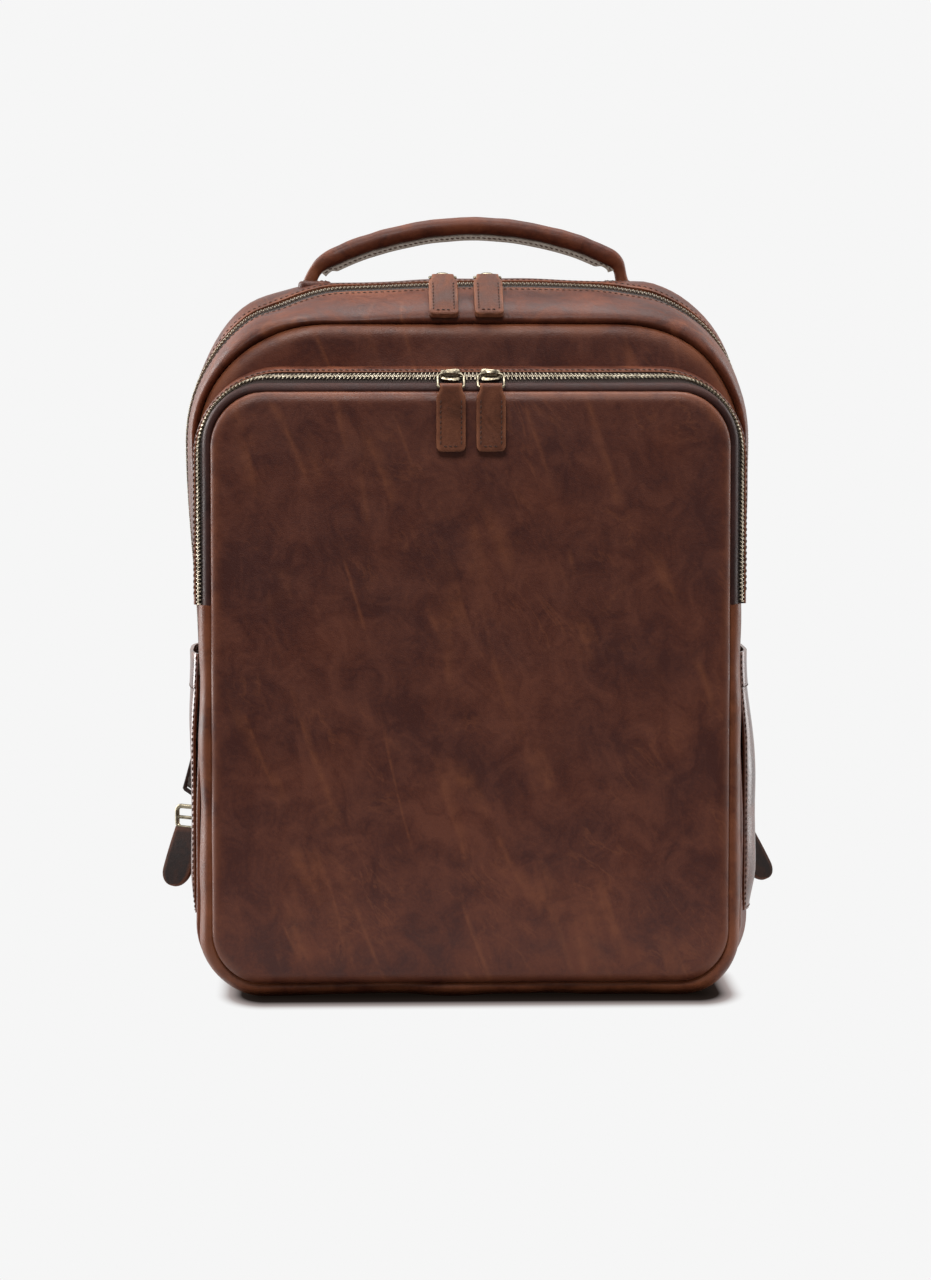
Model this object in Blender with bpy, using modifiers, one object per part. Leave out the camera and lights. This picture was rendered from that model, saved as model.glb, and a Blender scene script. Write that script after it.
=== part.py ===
"""A leather laptop backpack: a zipped main compartment that folds open, a zipped front pocket, two side
pockets, a rolled carry handle and two padded shoulder straps with buckles.

Metres, +Z up. The bag stands on z = 0 with its front facing -Y, and the origin is under the main compartment.
"""

import math

import bmesh
import bpy
from mathutils import Matrix, Vector

# Driving dimensions -----------------------------------------------------------------------------------
GAP = 0.0003  # between pieces that are sewn or laid together
LEATHER = 0.0024  # a gusset: leather and its lining
PANEL = 0.003  # a stiffened panel
FRONT_PANEL = 0.004  # the foam-backed front

FRONT_Y = -0.066  # outer face of the front pocket
MAIN_FRONT_Y = -0.040  # outer face of the main compartment's front panel
ZIP_Y = -0.0005  # middle of the main zip
BACK_Y = 0.054  # inner face of the back panel

WAIST = 0.159  # half the width below the zips
SHOULDER = 0.165  # half the width where the top corners begin
TOP_Z = 0.4125
MAIN_HINGE_Z = 0.185  # where the main zip ends, and the front folds down
POCKET_HINGE_Z = 0.227  # where the front pocket's zip ends
CORNER_STEPS = 8  # segments in each round corner

MAIN_SLIDER_X = (-0.0148, 0.0112)
POCKET_SLIDER_X = (-0.0116, 0.0112)

# An outline is (y, half width at its foot, half width at its shoulder, top or bottom z, corner x, corner z).
MAIN_CREASE = (MAIN_FRONT_Y + PANEL + GAP, WAIST, 0.1605, 0.388, 0.086, 0.086)
MAIN_BULGE = (-0.030, WAIST, 0.1625, 0.3965, 0.082, 0.090)
MAIN_BROW = (-0.018, WAIST, 0.1640, 0.4040, 0.076, 0.095)
MAIN_ZIP_FRONT = (-0.0055, WAIST, SHOULDER, 0.4085, 0.072, 0.098)
MAIN_ZIP_MIDDLE = (ZIP_Y, WAIST, SHOULDER, 0.4100, 0.072, 0.098)
MAIN_ZIP_REAR = (0.0045, WAIST, SHOULDER, 0.4110, 0.072, 0.098)
REAR_CROWN = (0.026, WAIST, SHOULDER, TOP_Z, 0.072, 0.098)
REAR_BROW = (0.045, WAIST, 0.1640, 0.4110, 0.072, 0.098)
REAR_CREASE = (BACK_Y - GAP, 0.1565, 0.1600, 0.4060, 0.072, 0.098)

POCKET_CREASE = (FRONT_Y + FRONT_PANEL + GAP, 0.1495, 0.1495, 0.3495, 0.0275, 0.0275)
POCKET_TEETH_FRONT = (-0.0570, 0.1535, 0.1535, 0.3545, 0.036, 0.036)
POCKET_TEETH_MIDDLE = (-0.0552, 0.1553, 0.1553, 0.3573, 0.043, 0.043)
POCKET_TEETH_REAR = (-0.0535, 0.1570, 0.1570, 0.3600, 0.049, 0.049)
POCKET_ROOT = (MAIN_FRONT_Y - GAP, 0.1580, 0.1580, 0.3630, 0.051, 0.051)

BASE_ROWS = (
    (MAIN_FRONT_Y + PANEL + GAP, 0.1575, 0.0015, 0.036),
    (-0.030, WAIST, 0.0, 0.040),
    (0.008, WAIST, 0.0, 0.040),
    (0.046, WAIST, 0.0, 0.040),
    (BACK_Y - GAP, 0.1565, 0.0035, 0.038),
)
POCKET_BASE_ROWS = (
    (FRONT_Y + FRONT_PANEL + GAP, 0.1495, 0.0075, 0.030),
    (-0.056, 0.1545, 0.0010, 0.033),
    (-0.051, 0.1560, 0.0, 0.034),
    (MAIN_FRONT_Y - GAP, 0.1560, 0.0015, 0.034),
)


# Materials --------------------------------------------------------------------------------------------
def material(name, colour, roughness, metallic=0.0):
    """A Principled material with one colour."""
    made = bpy.data.materials.new(name)
    made.use_nodes = True
    shader = made.node_tree.nodes["Principled BSDF"]
    shader.inputs["Base Color"].default_value = (*colour, 1.0)
    shader.inputs["Roughness"].default_value = roughness
    shader.inputs["Metallic"].default_value = metallic
    return made


def make_materials():
    return {
        "leather": material("leather", (0.105, 0.042, 0.026), 0.45),
        "dark_leather": material("dark_leather", (0.035, 0.018, 0.013), 0.5),
        "tape": material("tape", (0.050, 0.030, 0.024), 0.9),
        "brass": material("brass", (0.35, 0.28, 0.17), 0.35, 1.0),
        "lining": material("lining", (0.10, 0.075, 0.055), 0.85),
        "mesh": material("mesh", (0.030, 0.022, 0.018), 0.9),
    }


# Outlines ---------------------------------------------------------------------------------------------
def arch(outline, start_z):
    """Points of an outline from its left foot at start_z, over the top, to its right foot."""
    y, foot, shoulder, top, corner_x, corner_z = outline
    shoulder_z = top - corner_z
    right = []
    for step in range(CORNER_STEPS + 1):
        angle = math.radians(90) * (1 - step / CORNER_STEPS)
        x = shoulder - corner_x + corner_x * math.cos(angle)
        right.append((x, y, shoulder_z + corner_z * math.sin(angle)))
    side_steps = 4
    for step in range(1, side_steps + 1):
        share = step / side_steps
        ease = share * share * (3 - 2 * share)
        width = shoulder + (foot - shoulder) * ease
        right.append((width, y, shoulder_z + (start_z - shoulder_z) * share))
    left = [(-x, y, z) for x, y, z in reversed(right)]
    return left + right


def cup(row, start_z):
    """Points of a lower outline from its right end at start_z, round the bottom, to its left end."""
    y, half_width, bottom, corner = row
    right = [(half_width, y, start_z)]
    for step in range(CORNER_STEPS + 1):
        angle = math.radians(90) * step / CORNER_STEPS
        x = half_width - corner + corner * math.cos(angle)
        right.append((x, y, bottom + corner - corner * math.sin(angle)))
    left = [(-x, y, z) for x, y, z in reversed(right)]
    return right + left


def between(low, high, share):
    """The outline a share of the way from one outline to another."""
    return tuple(a + (b - a) * share for a, b in zip(low, high))


# Builders ---------------------------------------------------------------------------------------------
def link(obj, collection, mat):
    """Puts a new object in its collection with its material."""
    collection.objects.link(obj)
    obj.data.materials.append(mat)
    return obj


def surface(name, rows, collection, mat):
    """An open surface through rows of points."""
    shape = bmesh.new()
    lines = [[shape.verts.new(point) for point in row] for row in rows]
    for low, high in zip(lines, lines[1:]):
        for i in range(len(low) - 1):
            shape.faces.new((low[i], low[i + 1], high[i + 1], high[i]))
    mesh = bpy.data.meshes.new(name)
    shape.to_mesh(mesh)
    shape.free()
    mesh.shade_smooth()
    return link(bpy.data.objects.new(name, mesh), collection, mat)


def shell(name, rows, thickness, collection, mat, side=-1.0):
    """A loft through unlike rows, made solid on one side of the surface: -1 is inside, +1 outside."""
    obj = surface(name, rows, collection, mat)
    solidify = obj.modifiers.new("Thickness", "SOLIDIFY")
    solidify.thickness = thickness
    solidify.offset = side
    return obj


def sheet(name, points, y, thickness, collection, mat, bevel=0.0):
    """A flat panel cut to an outline in the XZ plane, its front face at y."""
    curve = bpy.data.curves.new(name, "CURVE")
    curve.dimensions = "2D"
    curve.fill_mode = "BOTH"
    curve.extrude = thickness / 2 - bevel
    curve.bevel_depth = bevel
    curve.bevel_resolution = 1
    curve.offset = -bevel
    spline = curve.splines.new("POLY")
    spline.points.add(len(points) - 1)
    for knot, (x, z) in zip(spline.points, points):
        knot.co = (x, z, 0, 1)
    spline.use_cyclic_u = True
    obj = link(bpy.data.objects.new(name, curve), collection, mat)
    obj.rotation_euler = (math.radians(90), 0, 0)
    obj.location.y = y + thickness / 2
    return obj


def flat(points):
    """The (x, z) of points in space."""
    return [(x, z) for x, _, z in points]


def rounded(low_x, low_z, high_x, high_z, radius, steps=4, low_radius=None):
    """The outline of a rectangle with round corners, which may have their own radius at its low end."""
    low = low_radius or radius
    corners = (
        (high_x - low, low_z + low, low, -90),
        (high_x - radius, high_z - radius, radius, 0),
        (low_x + radius, high_z - radius, radius, 90),
        (low_x + low, low_z + low, low, 180),
    )
    points = []
    for x, z, radius, first in corners:
        for step in range(steps + 1):
            angle = math.radians(first + 90 * step / steps)
            points.append((x + radius * math.cos(angle), z + radius * math.sin(angle)))
    return points


def wire(name, points, radius, collection, mat, cyclic=False, sides=2):
    """A round rod or ring along a line of points."""
    curve = bpy.data.curves.new(name, "CURVE")
    curve.dimensions = "3D"
    curve.bevel_depth = radius
    curve.bevel_resolution = sides
    curve.use_fill_caps = not cyclic
    spline = curve.splines.new("POLY")
    spline.points.add(len(points) - 1)
    for knot, point in zip(spline.points, points):
        knot.co = (*point, 1)
    spline.use_cyclic_u = cyclic
    return link(bpy.data.objects.new(name, curve), collection, mat)


def block(name, size, collection, mat, bevel=0.0):
    """A box with rounded edges, centred on its origin."""
    shape = bmesh.new()
    bmesh.ops.create_cube(shape, size=1)
    bmesh.ops.scale(shape, vec=size, verts=shape.verts)
    mesh = bpy.data.meshes.new(name)
    shape.to_mesh(mesh)
    shape.free()
    obj = link(bpy.data.objects.new(name, mesh), collection, mat)
    if bevel:
        edge = obj.modifiers.new("Edges", "BEVEL")
        edge.width = bevel
        edge.segments = 2
    return obj


def meshed(obj, collection):
    """A curve's shape as a mesh of the same name, for a Boolean."""
    bpy.context.view_layer.update()
    graph = bpy.context.evaluated_depsgraph_get()
    mesh = bpy.data.meshes.new_from_object(obj.evaluated_get(graph))
    name = obj.name
    bpy.data.objects.remove(obj)
    shape = bmesh.new()
    shape.from_mesh(mesh)
    bmesh.ops.remove_doubles(shape, verts=shape.verts, dist=1e-6)
    shape.to_mesh(mesh)
    shape.free()
    made = bpy.data.objects.new(name, mesh)
    collection.objects.link(made)
    return made


def rod(name, radius, length, collection, mat):
    """A cylinder along X, centred on its origin."""
    shape = bmesh.new()
    bmesh.ops.create_cone(
        shape, cap_ends=True, segments=12, radius1=radius, radius2=radius, depth=length,
        matrix=Matrix.Rotation(math.radians(90), 4, "Y"),
    )  # fmt: skip
    mesh = bpy.data.meshes.new(name)
    shape.to_mesh(mesh)
    shape.free()
    return link(bpy.data.objects.new(name, mesh), collection, mat)


def smooth_line(knots, count):
    """Points along a Catmull-Rom curve through the knots, whose numbers may be of any kind."""
    padded = [2 * knots[0] - knots[1], *knots, 2 * knots[-1] - knots[-2]]
    points = []
    for step in range(count + 1):
        place = step / count * (len(knots) - 1)
        i = min(int(place), len(knots) - 2)
        t = place - i
        a, b, c, d = padded[i : i + 4]
        points.append(
            0.5 * (2 * b + (c - a) * t + (2 * a - 5 * b + 4 * c - d) * t**2 + (3 * b - a - 3 * c + d) * t**3)
        )
    return points


# Root body: what stays still --------------------------------------------------------------------------
def back(group, mats):
    """The back panel and the pads sewn on it."""
    outline = flat(arch(REAR_CREASE, MAIN_HINGE_Z))[:-1]
    base = flat(cup(BASE_ROWS[-1], MAIN_HINGE_Z))
    sheet("back_panel", outline + base[:-1], BACK_Y, PANEL, group, mats["leather"])
    pad_y = BACK_Y + PANEL + GAP
    for name, low, high in (("back_pad_left", -0.112, -0.012), ("back_pad_right", 0.012, 0.112)):
        outline = rounded(low, 0.120, high, 0.334, 0.022)
        sheet(name, outline, pad_y, 0.009, group, mats["mesh"], 0.002)
    outline = rounded(-0.112, 0.034, 0.112, 0.108, 0.022)
    sheet("lumbar_pad", outline, pad_y, 0.009, group, mats["mesh"], 0.002)
    outline = rounded(-0.088, 0.362, 0.088, 0.397, 0.010)
    sheet("strap_yoke", outline, pad_y, 0.0035, group, mats["leather"])


def gussets(group, mats):
    """The bands of leather that join the back to the fronts."""
    start = MAIN_HINGE_Z + GAP
    rows = [arch(row, start) for row in (MAIN_ZIP_REAR, REAR_CROWN, REAR_BROW, REAR_CREASE)]
    rows[0] = arch((MAIN_ZIP_REAR[0] + GAP, *MAIN_ZIP_REAR[1:]), start)
    shell("rear_gusset", rows, LEATHER, group, mats["leather"])
    rows = [cup(row, MAIN_HINGE_Z - GAP) for row in BASE_ROWS]
    shell("base_gusset", rows, LEATHER, group, mats["leather"])
    rows = [cup(row, MAIN_HINGE_Z - GAP) for row in POCKET_BASE_ROWS]
    shell("pocket_base_gusset", rows, LEATHER, group, mats["leather"])


def lower_fronts(group, mats):
    """The parts of the two fronts below the fold."""
    top = MAIN_HINGE_Z - GAP
    outline = flat(cup(BASE_ROWS[0], top))
    sheet("main_front_lower", outline, MAIN_FRONT_Y, PANEL, group, mats["leather"])
    outline = flat(cup(POCKET_BASE_ROWS[0], top))
    sheet("front_panel_lower", outline, FRONT_Y, FRONT_PANEL, group, mats["leather"])


def inside(group, mats):
    """The laptop sleeve's padded divider and the board that stiffens the base."""
    half_width = WAIST - LEATHER - GAP
    outline = rounded(-half_width, 0.034, half_width, 0.300, 0.028)
    sheet("laptop_divider", outline, 0.032, 0.005, group, mats["lining"])
    board = block("base_board", (0.232, 0.072, 0.0025), group, mats["lining"])
    board.location = (0, 0.008, LEATHER + GAP + 0.00125)


def side_pocket(name, side, group, mats):
    """An open pocket on one side: a sheet that bulges from the base gusset, closed at its foot."""
    rows = []
    for z, bulge in ((0.044, 0.0), (0.058, 0.0052), (0.110, 0.0078), (0.160, 0.0080), (0.197, 0.0072)):
        row = []
        for step in range(11):
            share = step / 10
            y = -0.029 + 0.074 * share
            swell = bulge * (1 - abs(2 * share - 1) ** 4)
            row.append((side * (WAIST + GAP + swell), y, z))
        rows.append(row if side > 0 else row[::-1])
    shell(name, rows, 0.0020, group, mats["leather"], 1.0)


def strap_base_tabs(group, mats):
    """The tabs in the lower back corners that hold the webbing ends of the straps."""
    for name, side in (("strap_base_tab_left", -1), ("strap_base_tab_right", 1)):
        outline = [(0.118, 0.012), (0.148, 0.020), (0.152, 0.052), (0.136, 0.052)]
        points = [(side * x, z) for x, z in outline]
        sheet(name, points, BACK_Y + PANEL + GAP, 0.004, group, mats["leather"])


# Zips -------------------------------------------------------------------------------------------------
TEETH = 0.0019  # thickness of a chain of teeth
TAPE = 0.0008


def zips(root, flap, pocket, mats):
    """Both zips: on each side of a seam a woven tape with a chain of teeth along its edge."""
    start = MAIN_HINGE_Z + GAP
    front_edge = between(MAIN_ZIP_FRONT, MAIN_ZIP_MIDDLE, 0.45)
    rear_edge = between(MAIN_ZIP_REAR, MAIN_ZIP_MIDDLE, 0.45)
    nearly = 0.97  # leaves the gap between the two chains
    rows = [arch(between(MAIN_ZIP_FRONT, front_edge, share), start) for share in (0.1, 0.9)]
    shell("main_zip_tape_front", rows, TAPE, flap, mats["tape"])
    rows = [arch(front_edge, start), arch(between(front_edge, MAIN_ZIP_MIDDLE, nearly - 0.02), start)]
    shell("main_zip_teeth_front", rows, TEETH, flap, mats["brass"])
    rows = [arch(between(MAIN_ZIP_MIDDLE, rear_edge, 1 - nearly + 0.02), start), arch(rear_edge, start)]
    shell("main_zip_teeth_rear", rows, TEETH, root, mats["brass"])
    rows = [arch(between(rear_edge, MAIN_ZIP_REAR, share), start) for share in (0.1, 0.9)]
    shell("main_zip_tape_rear", rows, TAPE, root, mats["tape"])

    start = POCKET_HINGE_Z + GAP
    rows = [arch(POCKET_CREASE, start), arch(between(POCKET_CREASE, POCKET_TEETH_FRONT, 0.9), start)]
    shell("pocket_zip_tape_front", rows, TAPE, pocket, mats["tape"])
    rows = [arch(between(POCKET_TEETH_FRONT, POCKET_TEETH_MIDDLE, share), start) for share in (0, 0.92)]
    shell("pocket_zip_teeth_front", rows, TEETH, pocket, mats["brass"])
    rows = [arch(between(POCKET_TEETH_MIDDLE, POCKET_TEETH_REAR, share), start) for share in (0.08, 1)]
    shell("pocket_zip_teeth_rear", rows, TEETH, flap, mats["brass"])
    rows = [arch(between(POCKET_TEETH_REAR, POCKET_ROOT, share), start) for share in (0.08, 0.3, 1)]
    shell("pocket_zip_tape_rear", rows, TAPE, flap, mats["tape"])


# The flaps --------------------------------------------------------------------------------------------
def main_flap(group, mats):
    """Everything of the main front above its fold, but for the front pocket's own flap."""
    start = MAIN_HINGE_Z + GAP
    front = (MAIN_ZIP_FRONT[0] - GAP, *MAIN_ZIP_FRONT[1:])
    rows = [arch(row, start) for row in (MAIN_CREASE, MAIN_BULGE, MAIN_BROW, front)]
    shell("front_gusset", rows, LEATHER, group, mats["leather"])
    sheet("main_front_upper", flat(arch(MAIN_CREASE, start)), MAIN_FRONT_Y, PANEL, group, mats["leather"])
    half_width = POCKET_CREASE[1]
    outline = rounded(-half_width, start, half_width, POCKET_HINGE_Z - GAP, 0.0005, 1)
    sheet("front_panel_middle", outline, FRONT_Y, FRONT_PANEL, group, mats["leather"])
    for name, side in (("pocket_gusset_left", -1), ("pocket_gusset_right", 1)):
        rows = []
        for y, half_width, _, _ in POCKET_BASE_ROWS:
            ends = [(side * half_width, y, z) for z in (POCKET_HINGE_Z - GAP, start)]
            rows.append(ends if side > 0 else ends[::-1])
        shell(name, rows, LEATHER, group, mats["leather"])


def pocket_flap(group, mats):
    """The front pocket's panel above the ends of its zip."""
    outline = flat(arch(POCKET_CREASE, POCKET_HINGE_Z + GAP))
    sheet("front_panel_upper", outline, FRONT_Y, FRONT_PANEL, group, mats["leather"])


# Sliders and pulls ------------------------------------------------------------------------------------
SLIDER_LENGTH = 0.0118
SLIDER_WIDTH = 0.0084
SLIDER_PLATE = 0.0014
BRIDGE_RISE = 0.0020  # from the middle of the plate to the ring's bar in the bridge
BRIDGE_HOLE = 0.00125  # half the width and height of the bridge's hole
BRIDGE_WALL = 0.0010
BRIDGE_LENGTH = 0.0060
RING_WIDTH = 0.0150
RING_WIRE = 0.0008
MAIN_RING_LENGTH = 0.0105
POCKET_RING_LENGTH = 0.0125
TAB_WIDTH = 0.0168
TAB_NECK = 0.0112
TAB_LENGTH = 0.0365  # below the ring's bar
TAB_NOSE = 0.0021  # above the ring's bar
TAB_THICKNESS = 0.0042
TAB_HOLE = 0.0011

# Places are (y, z); angles are about the X axis, from straight down towards the front.
MAIN_SLIDER = (-0.0012, 0.4119)
MAIN_SLOPE = math.radians(15)
MAIN_RING_ANGLE = math.radians(88)
MAIN_TAB_ANGLE = math.radians(53)
POCKET_SLIDER = (-0.0568, 0.3583)
POCKET_SLOPE = math.radians(57)
POCKET_RING_ANGLE = math.radians(53)
POCKET_TAB_ANGLE = 0.0


def bar_place(slider_place, slope):
    """(y, z) of the ring's bar in the bridge of a slider."""
    y, z = slider_place
    return y - BRIDGE_RISE * math.sin(slope), z + BRIDGE_RISE * math.cos(slope)


def slider(name, x, place, slope, group, mats):
    """A zip slider: a plate over the teeth with a bridge for its ring. slope turns it about X."""
    plate = block(name, (SLIDER_LENGTH, SLIDER_WIDTH, SLIDER_PLATE), group, mats["brass"], 0.0004)
    half = BRIDGE_HOLE + BRIDGE_WALL
    height = BRIDGE_RISE + half
    bridge = block(name + "_bridge_tool", (BRIDGE_LENGTH, 2 * half, height), group, mats["brass"], 0.0005)
    bridge.location = (0, 0, height / 2)
    hole = block(name + "_hole_tool", (0.010, 2 * BRIDGE_HOLE, 2 * BRIDGE_HOLE), group, mats["brass"])
    hole.location = (0, 0, BRIDGE_RISE)
    for tool, operation in ((bridge, "UNION"), (hole, "DIFFERENCE")):
        tool.parent = plate
        tool.hide_render = True
        tool.display_type = "WIRE"
        cut = plate.modifiers.new(operation.title(), "BOOLEAN")
        cut.operation = operation
        cut.object = tool
    plate.location = (x, *place)
    plate.rotation_euler = (slope, 0, 0)


def pull(name, x, place, ring_angle, ring_length, tab_angle, ring_group, tab_group, mats):
    """A wire ring in a slider's bridge, and the leather tab folded over the ring's lower bar."""
    ring_way = Vector((0, -math.sin(ring_angle), -math.cos(ring_angle)))
    across = Vector((1, 0, 0))
    top = Vector((x, *place))
    outline = rounded(-RING_WIDTH / 2, 0, RING_WIDTH / 2, ring_length, 0.0017, 3, 0.0042)
    points = [top + across * u + ring_way * v for u, v in outline]
    wire(name + "_ring", points, RING_WIRE, ring_group, mats["brass"], True, 1)

    length = TAB_LENGTH
    outline = [(-TAB_NECK / 2, -TAB_NOSE), (TAB_NECK / 2, -TAB_NOSE), (TAB_NECK / 2, 0.0010), (TAB_WIDTH / 2, 0.0052)]
    outline += [(TAB_WIDTH / 2, length - 0.003), (TAB_WIDTH / 2 - 0.003, length)]
    outline += [(-u, v) for u, v in reversed(outline[2:])]
    tab = meshed(sheet(name + "_tab", outline, 0, TAB_THICKNESS, tab_group, mats["leather"]), tab_group)
    tab.location = top + ring_way * ring_length
    tab.rotation_euler = (math.radians(-90) - tab_angle, 0, 0)
    tool = rod(name + "_hole_tool", TAB_HOLE, 2 * TAB_WIDTH, tab_group, mats["leather"])
    tool.location = tab.location
    tool.hide_render = True
    tool.display_type = "WIRE"
    cut = tab.modifiers.new("Hole", "BOOLEAN")
    cut.operation = "DIFFERENCE"
    cut.object = tool


def sliders_and_pulls(groups, mats):
    main = (MAIN_SLIDER, MAIN_SLOPE, MAIN_RING_ANGLE, MAIN_RING_LENGTH, MAIN_TAB_ANGLE)
    pocket = (POCKET_SLIDER, POCKET_SLOPE, POCKET_RING_ANGLE, POCKET_RING_LENGTH, POCKET_TAB_ANGLE)
    for zip_name, places, (place, slope, ring_angle, ring_length, tab_angle) in (
        ("main", MAIN_SLIDER_X, main),
        ("pocket", POCKET_SLIDER_X, pocket),
    ):
        for side, x in zip(("left", "right"), places):
            name = f"{zip_name}_slider_{side}"
            slider(name, x, place, slope, groups[name], mats)
            pull(
                f"{zip_name}_pull_{side}", x, bar_place(place, slope), ring_angle, ring_length, tab_angle,
                groups[f"{zip_name}_ring_{side}"], groups[f"{zip_name}_tab_{side}"], mats,
            )  # fmt: skip


# Handle -----------------------------------------------------------------------------------------------
HANDLE_Y = 0.028
HANDLE_HALF_SPAN = 0.0890
HANDLE_TOP_Z = 0.4437  # middle of the roll at the top of its arch
HANDLE_PIVOT_Z = 0.4168
HANDLE_RADIUS = 0.0050
CORE_RADIUS = 0.0034
HANDLE_TAB = 0.0040  # thickness of the flattened ends, which bend at their feet


def handle_line():
    """The middle of the roll: it leaves its flattened ends leaning in, then runs in a shallow arch."""
    half = [
        Vector((0.0870, HANDLE_Y, 0.4245)),
        Vector((0.0825, HANDLE_Y, 0.4272)),
        Vector((0.0700, HANDLE_Y, 0.4318)),
        Vector((0.0370, HANDLE_Y, 0.4396)),
        Vector((0.0, HANDLE_Y, HANDLE_TOP_Z)),
    ]
    other = [Vector((-p.x, p.y, p.z)) for p in half[:-1]]
    return smooth_line(half + other[::-1], 24)


def handle(root, group, mats):
    """A leather roll on a cord, its flattened ends, and the two patches that they are sewn to."""
    line = handle_line()
    wire("handle_core", line, CORE_RADIUS, group, mats["lining"], sides=1)
    roll = wire("handle_roll", line, CORE_RADIUS + GAP, group, mats["leather"], sides=2)
    roll.data.use_fill_caps = False
    wall = roll.modifiers.new("Wall", "SOLIDIFY")
    wall.thickness = HANDLE_RADIUS - CORE_RADIUS - GAP
    wall.offset = 1.0
    for side_name, side in (("left", -1), ("right", 1)):
        patch = block(f"handle_patch_{side_name}", (0.022, 0.026, 0.0016), root, mats["leather"], 0.0005)
        patch.location = (side * HANDLE_HALF_SPAN, HANDLE_Y, TOP_Z + GAP + 0.0008)
        half = HANDLE_TAB / 2
        outline = [(-half, 0.0033), (-half, 0)]
        for step in range(1, 6):
            angle = math.radians(180 + 180 * step / 6)
            outline.append((half * math.cos(angle), half * math.sin(angle)))
        outline += [(half, 0), (half, 0.0033)]
        foot = sheet(f"handle_tab_{side_name}", outline, 0, 0.0100, group, mats["leather"])
        foot.rotation_euler = (math.radians(90), 0, math.radians(90))
        foot.location = (side * (HANDLE_HALF_SPAN + 0.0004), HANDLE_Y, HANDLE_PIVOT_Z)


# Shoulder straps --------------------------------------------------------------------------------------
STRAP_TOP = Vector((0.0500, 0.0630, 0.3580))  # where a pad comes out from under the yoke
STRAP_THICKNESS = 0.0085
BUCKLE = Vector((0.1625, 0.0710, 0.0880))
STRAP_FOOT = Vector((0.1440, 0.0635, 0.0400))
BUCKLE_YAW = math.radians(38)  # the strap's foot turns round the side of the bag


def strap_pad(name, side, group, mats):
    """A padded strap, wide over the shoulder and narrow at the buckle, standing off the back."""
    spine = [
        STRAP_TOP,
        Vector((0.0520, 0.0735, 0.3440)),
        Vector((0.0620, 0.0850, 0.3060)),
        Vector((0.0800, 0.0905, 0.2600)),
        Vector((0.1080, 0.0900, 0.2050)),
        Vector((0.1380, 0.0830, 0.1480)),
        Vector((0.1600, 0.0720, 0.1000)),
    ]
    half_widths = [0.0230, 0.0250, 0.0290, 0.0300, 0.0270, 0.0190, 0.0120]
    points = smooth_line(spine, 15)
    widths = smooth_line(half_widths, 15)
    rows = []
    for i, (point, half) in enumerate(zip(points, widths)):
        turn = BUCKLE_YAW * max(0.0, (i - 8) / 7) ** 1.5
        ahead = points[min(i + 1, 15)] - points[max(i - 1, 0)]
        lean = math.atan2(ahead.x, -ahead.z)
        across = Vector((math.cos(lean), 0, math.sin(lean)))
        across = Matrix.Rotation(turn, 3, "Z") @ across
        row = [point + across * half * share for share in (-1, -0.5, 0, 0.5, 1)]
        rows.append([(side * p.x, p.y, p.z) for p in (row if side > 0 else row[::-1])])
    obj = shell(name, rows, STRAP_THICKNESS, group, mats["leather"], 0.0)
    edge = obj.modifiers.new("Edges", "BEVEL")
    edge.width = 0.0022
    edge.segments = 1
    edge.limit_method = "ANGLE"
    edge.angle_limit = math.radians(50)


def strap_hardware(side_name, side, groups, mats):
    """The buckle at the pad's end, the webbing below it and the tail that comes back through it."""
    across = Vector((side * math.cos(BUCKLE_YAW), math.sin(BUCKLE_YAW), 0))
    centre = Vector((side * BUCKLE.x, BUCKLE.y, BUCKLE.z))
    frame = rounded(-0.0135, -0.0065, 0.0135, 0.0065, 0.003, 2)
    points = [centre + across * u + Vector((0, 0, v)) for u, v in frame]
    wire(f"buckle_{side_name}", points, 0.0014, groups[f"strap_{side_name}"], mats["brass"], True, 1)

    foot = Vector((side * STRAP_FOOT.x, STRAP_FOOT.y, STRAP_FOOT.z))
    head = centre + Vector((0, 0, -0.0105))
    rows = []
    for share in (0, 0.25, 0.5, 0.75, 1):
        middle = foot.lerp(head, share)
        turn = Vector((side, 0, 0)).lerp(across, share).normalized()
        row = [middle + turn * u for u in (-0.011, 0.011)]
        rows.append(row if side > 0 else row[::-1])
    shell(f"lower_strap_{side_name}", rows, 0.0026, groups[f"lower_strap_{side_name}"], mats["leather"], 0.0)

    normal = Vector((side * math.sin(BUCKLE_YAW), -math.cos(BUCKLE_YAW), 0))
    hang = Vector((0, 0, -1)) + normal * 0.18 + Vector((side * 0.28, 0, 0))
    hang.normalize()
    head = centre + normal * 0.0042 + Vector((0, 0, -0.0055))
    rows = []
    for v, half in ((0, 0.0105), (0.022, 0.0105), (0.029, 0.0095), (0.034, 0.0070), (0.0365, 0.0035)):
        middle = head + hang * v
        row = [middle + across * u * half for u in (-1, -0.33, 0.33, 1)]
        rows.append(row if side > 0 else row[::-1])
    shell(f"strap_tail_{side_name}", rows, 0.0026, groups[f"strap_tail_{side_name}"], mats["dark_leather"], 0.0)


# Assembly ---------------------------------------------------------------------------------------------
BODY_NAMES = (
    "bag", "main_flap", "pocket_flap", "handle",
    *(f"{piece}_{side}" for piece in (
        "main_slider", "main_ring", "main_tab", "pocket_slider", "pocket_ring", "pocket_tab",
        "strap", "lower_strap", "strap_tail",
    ) for side in ("left", "right")),
)  # fmt: skip


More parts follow.
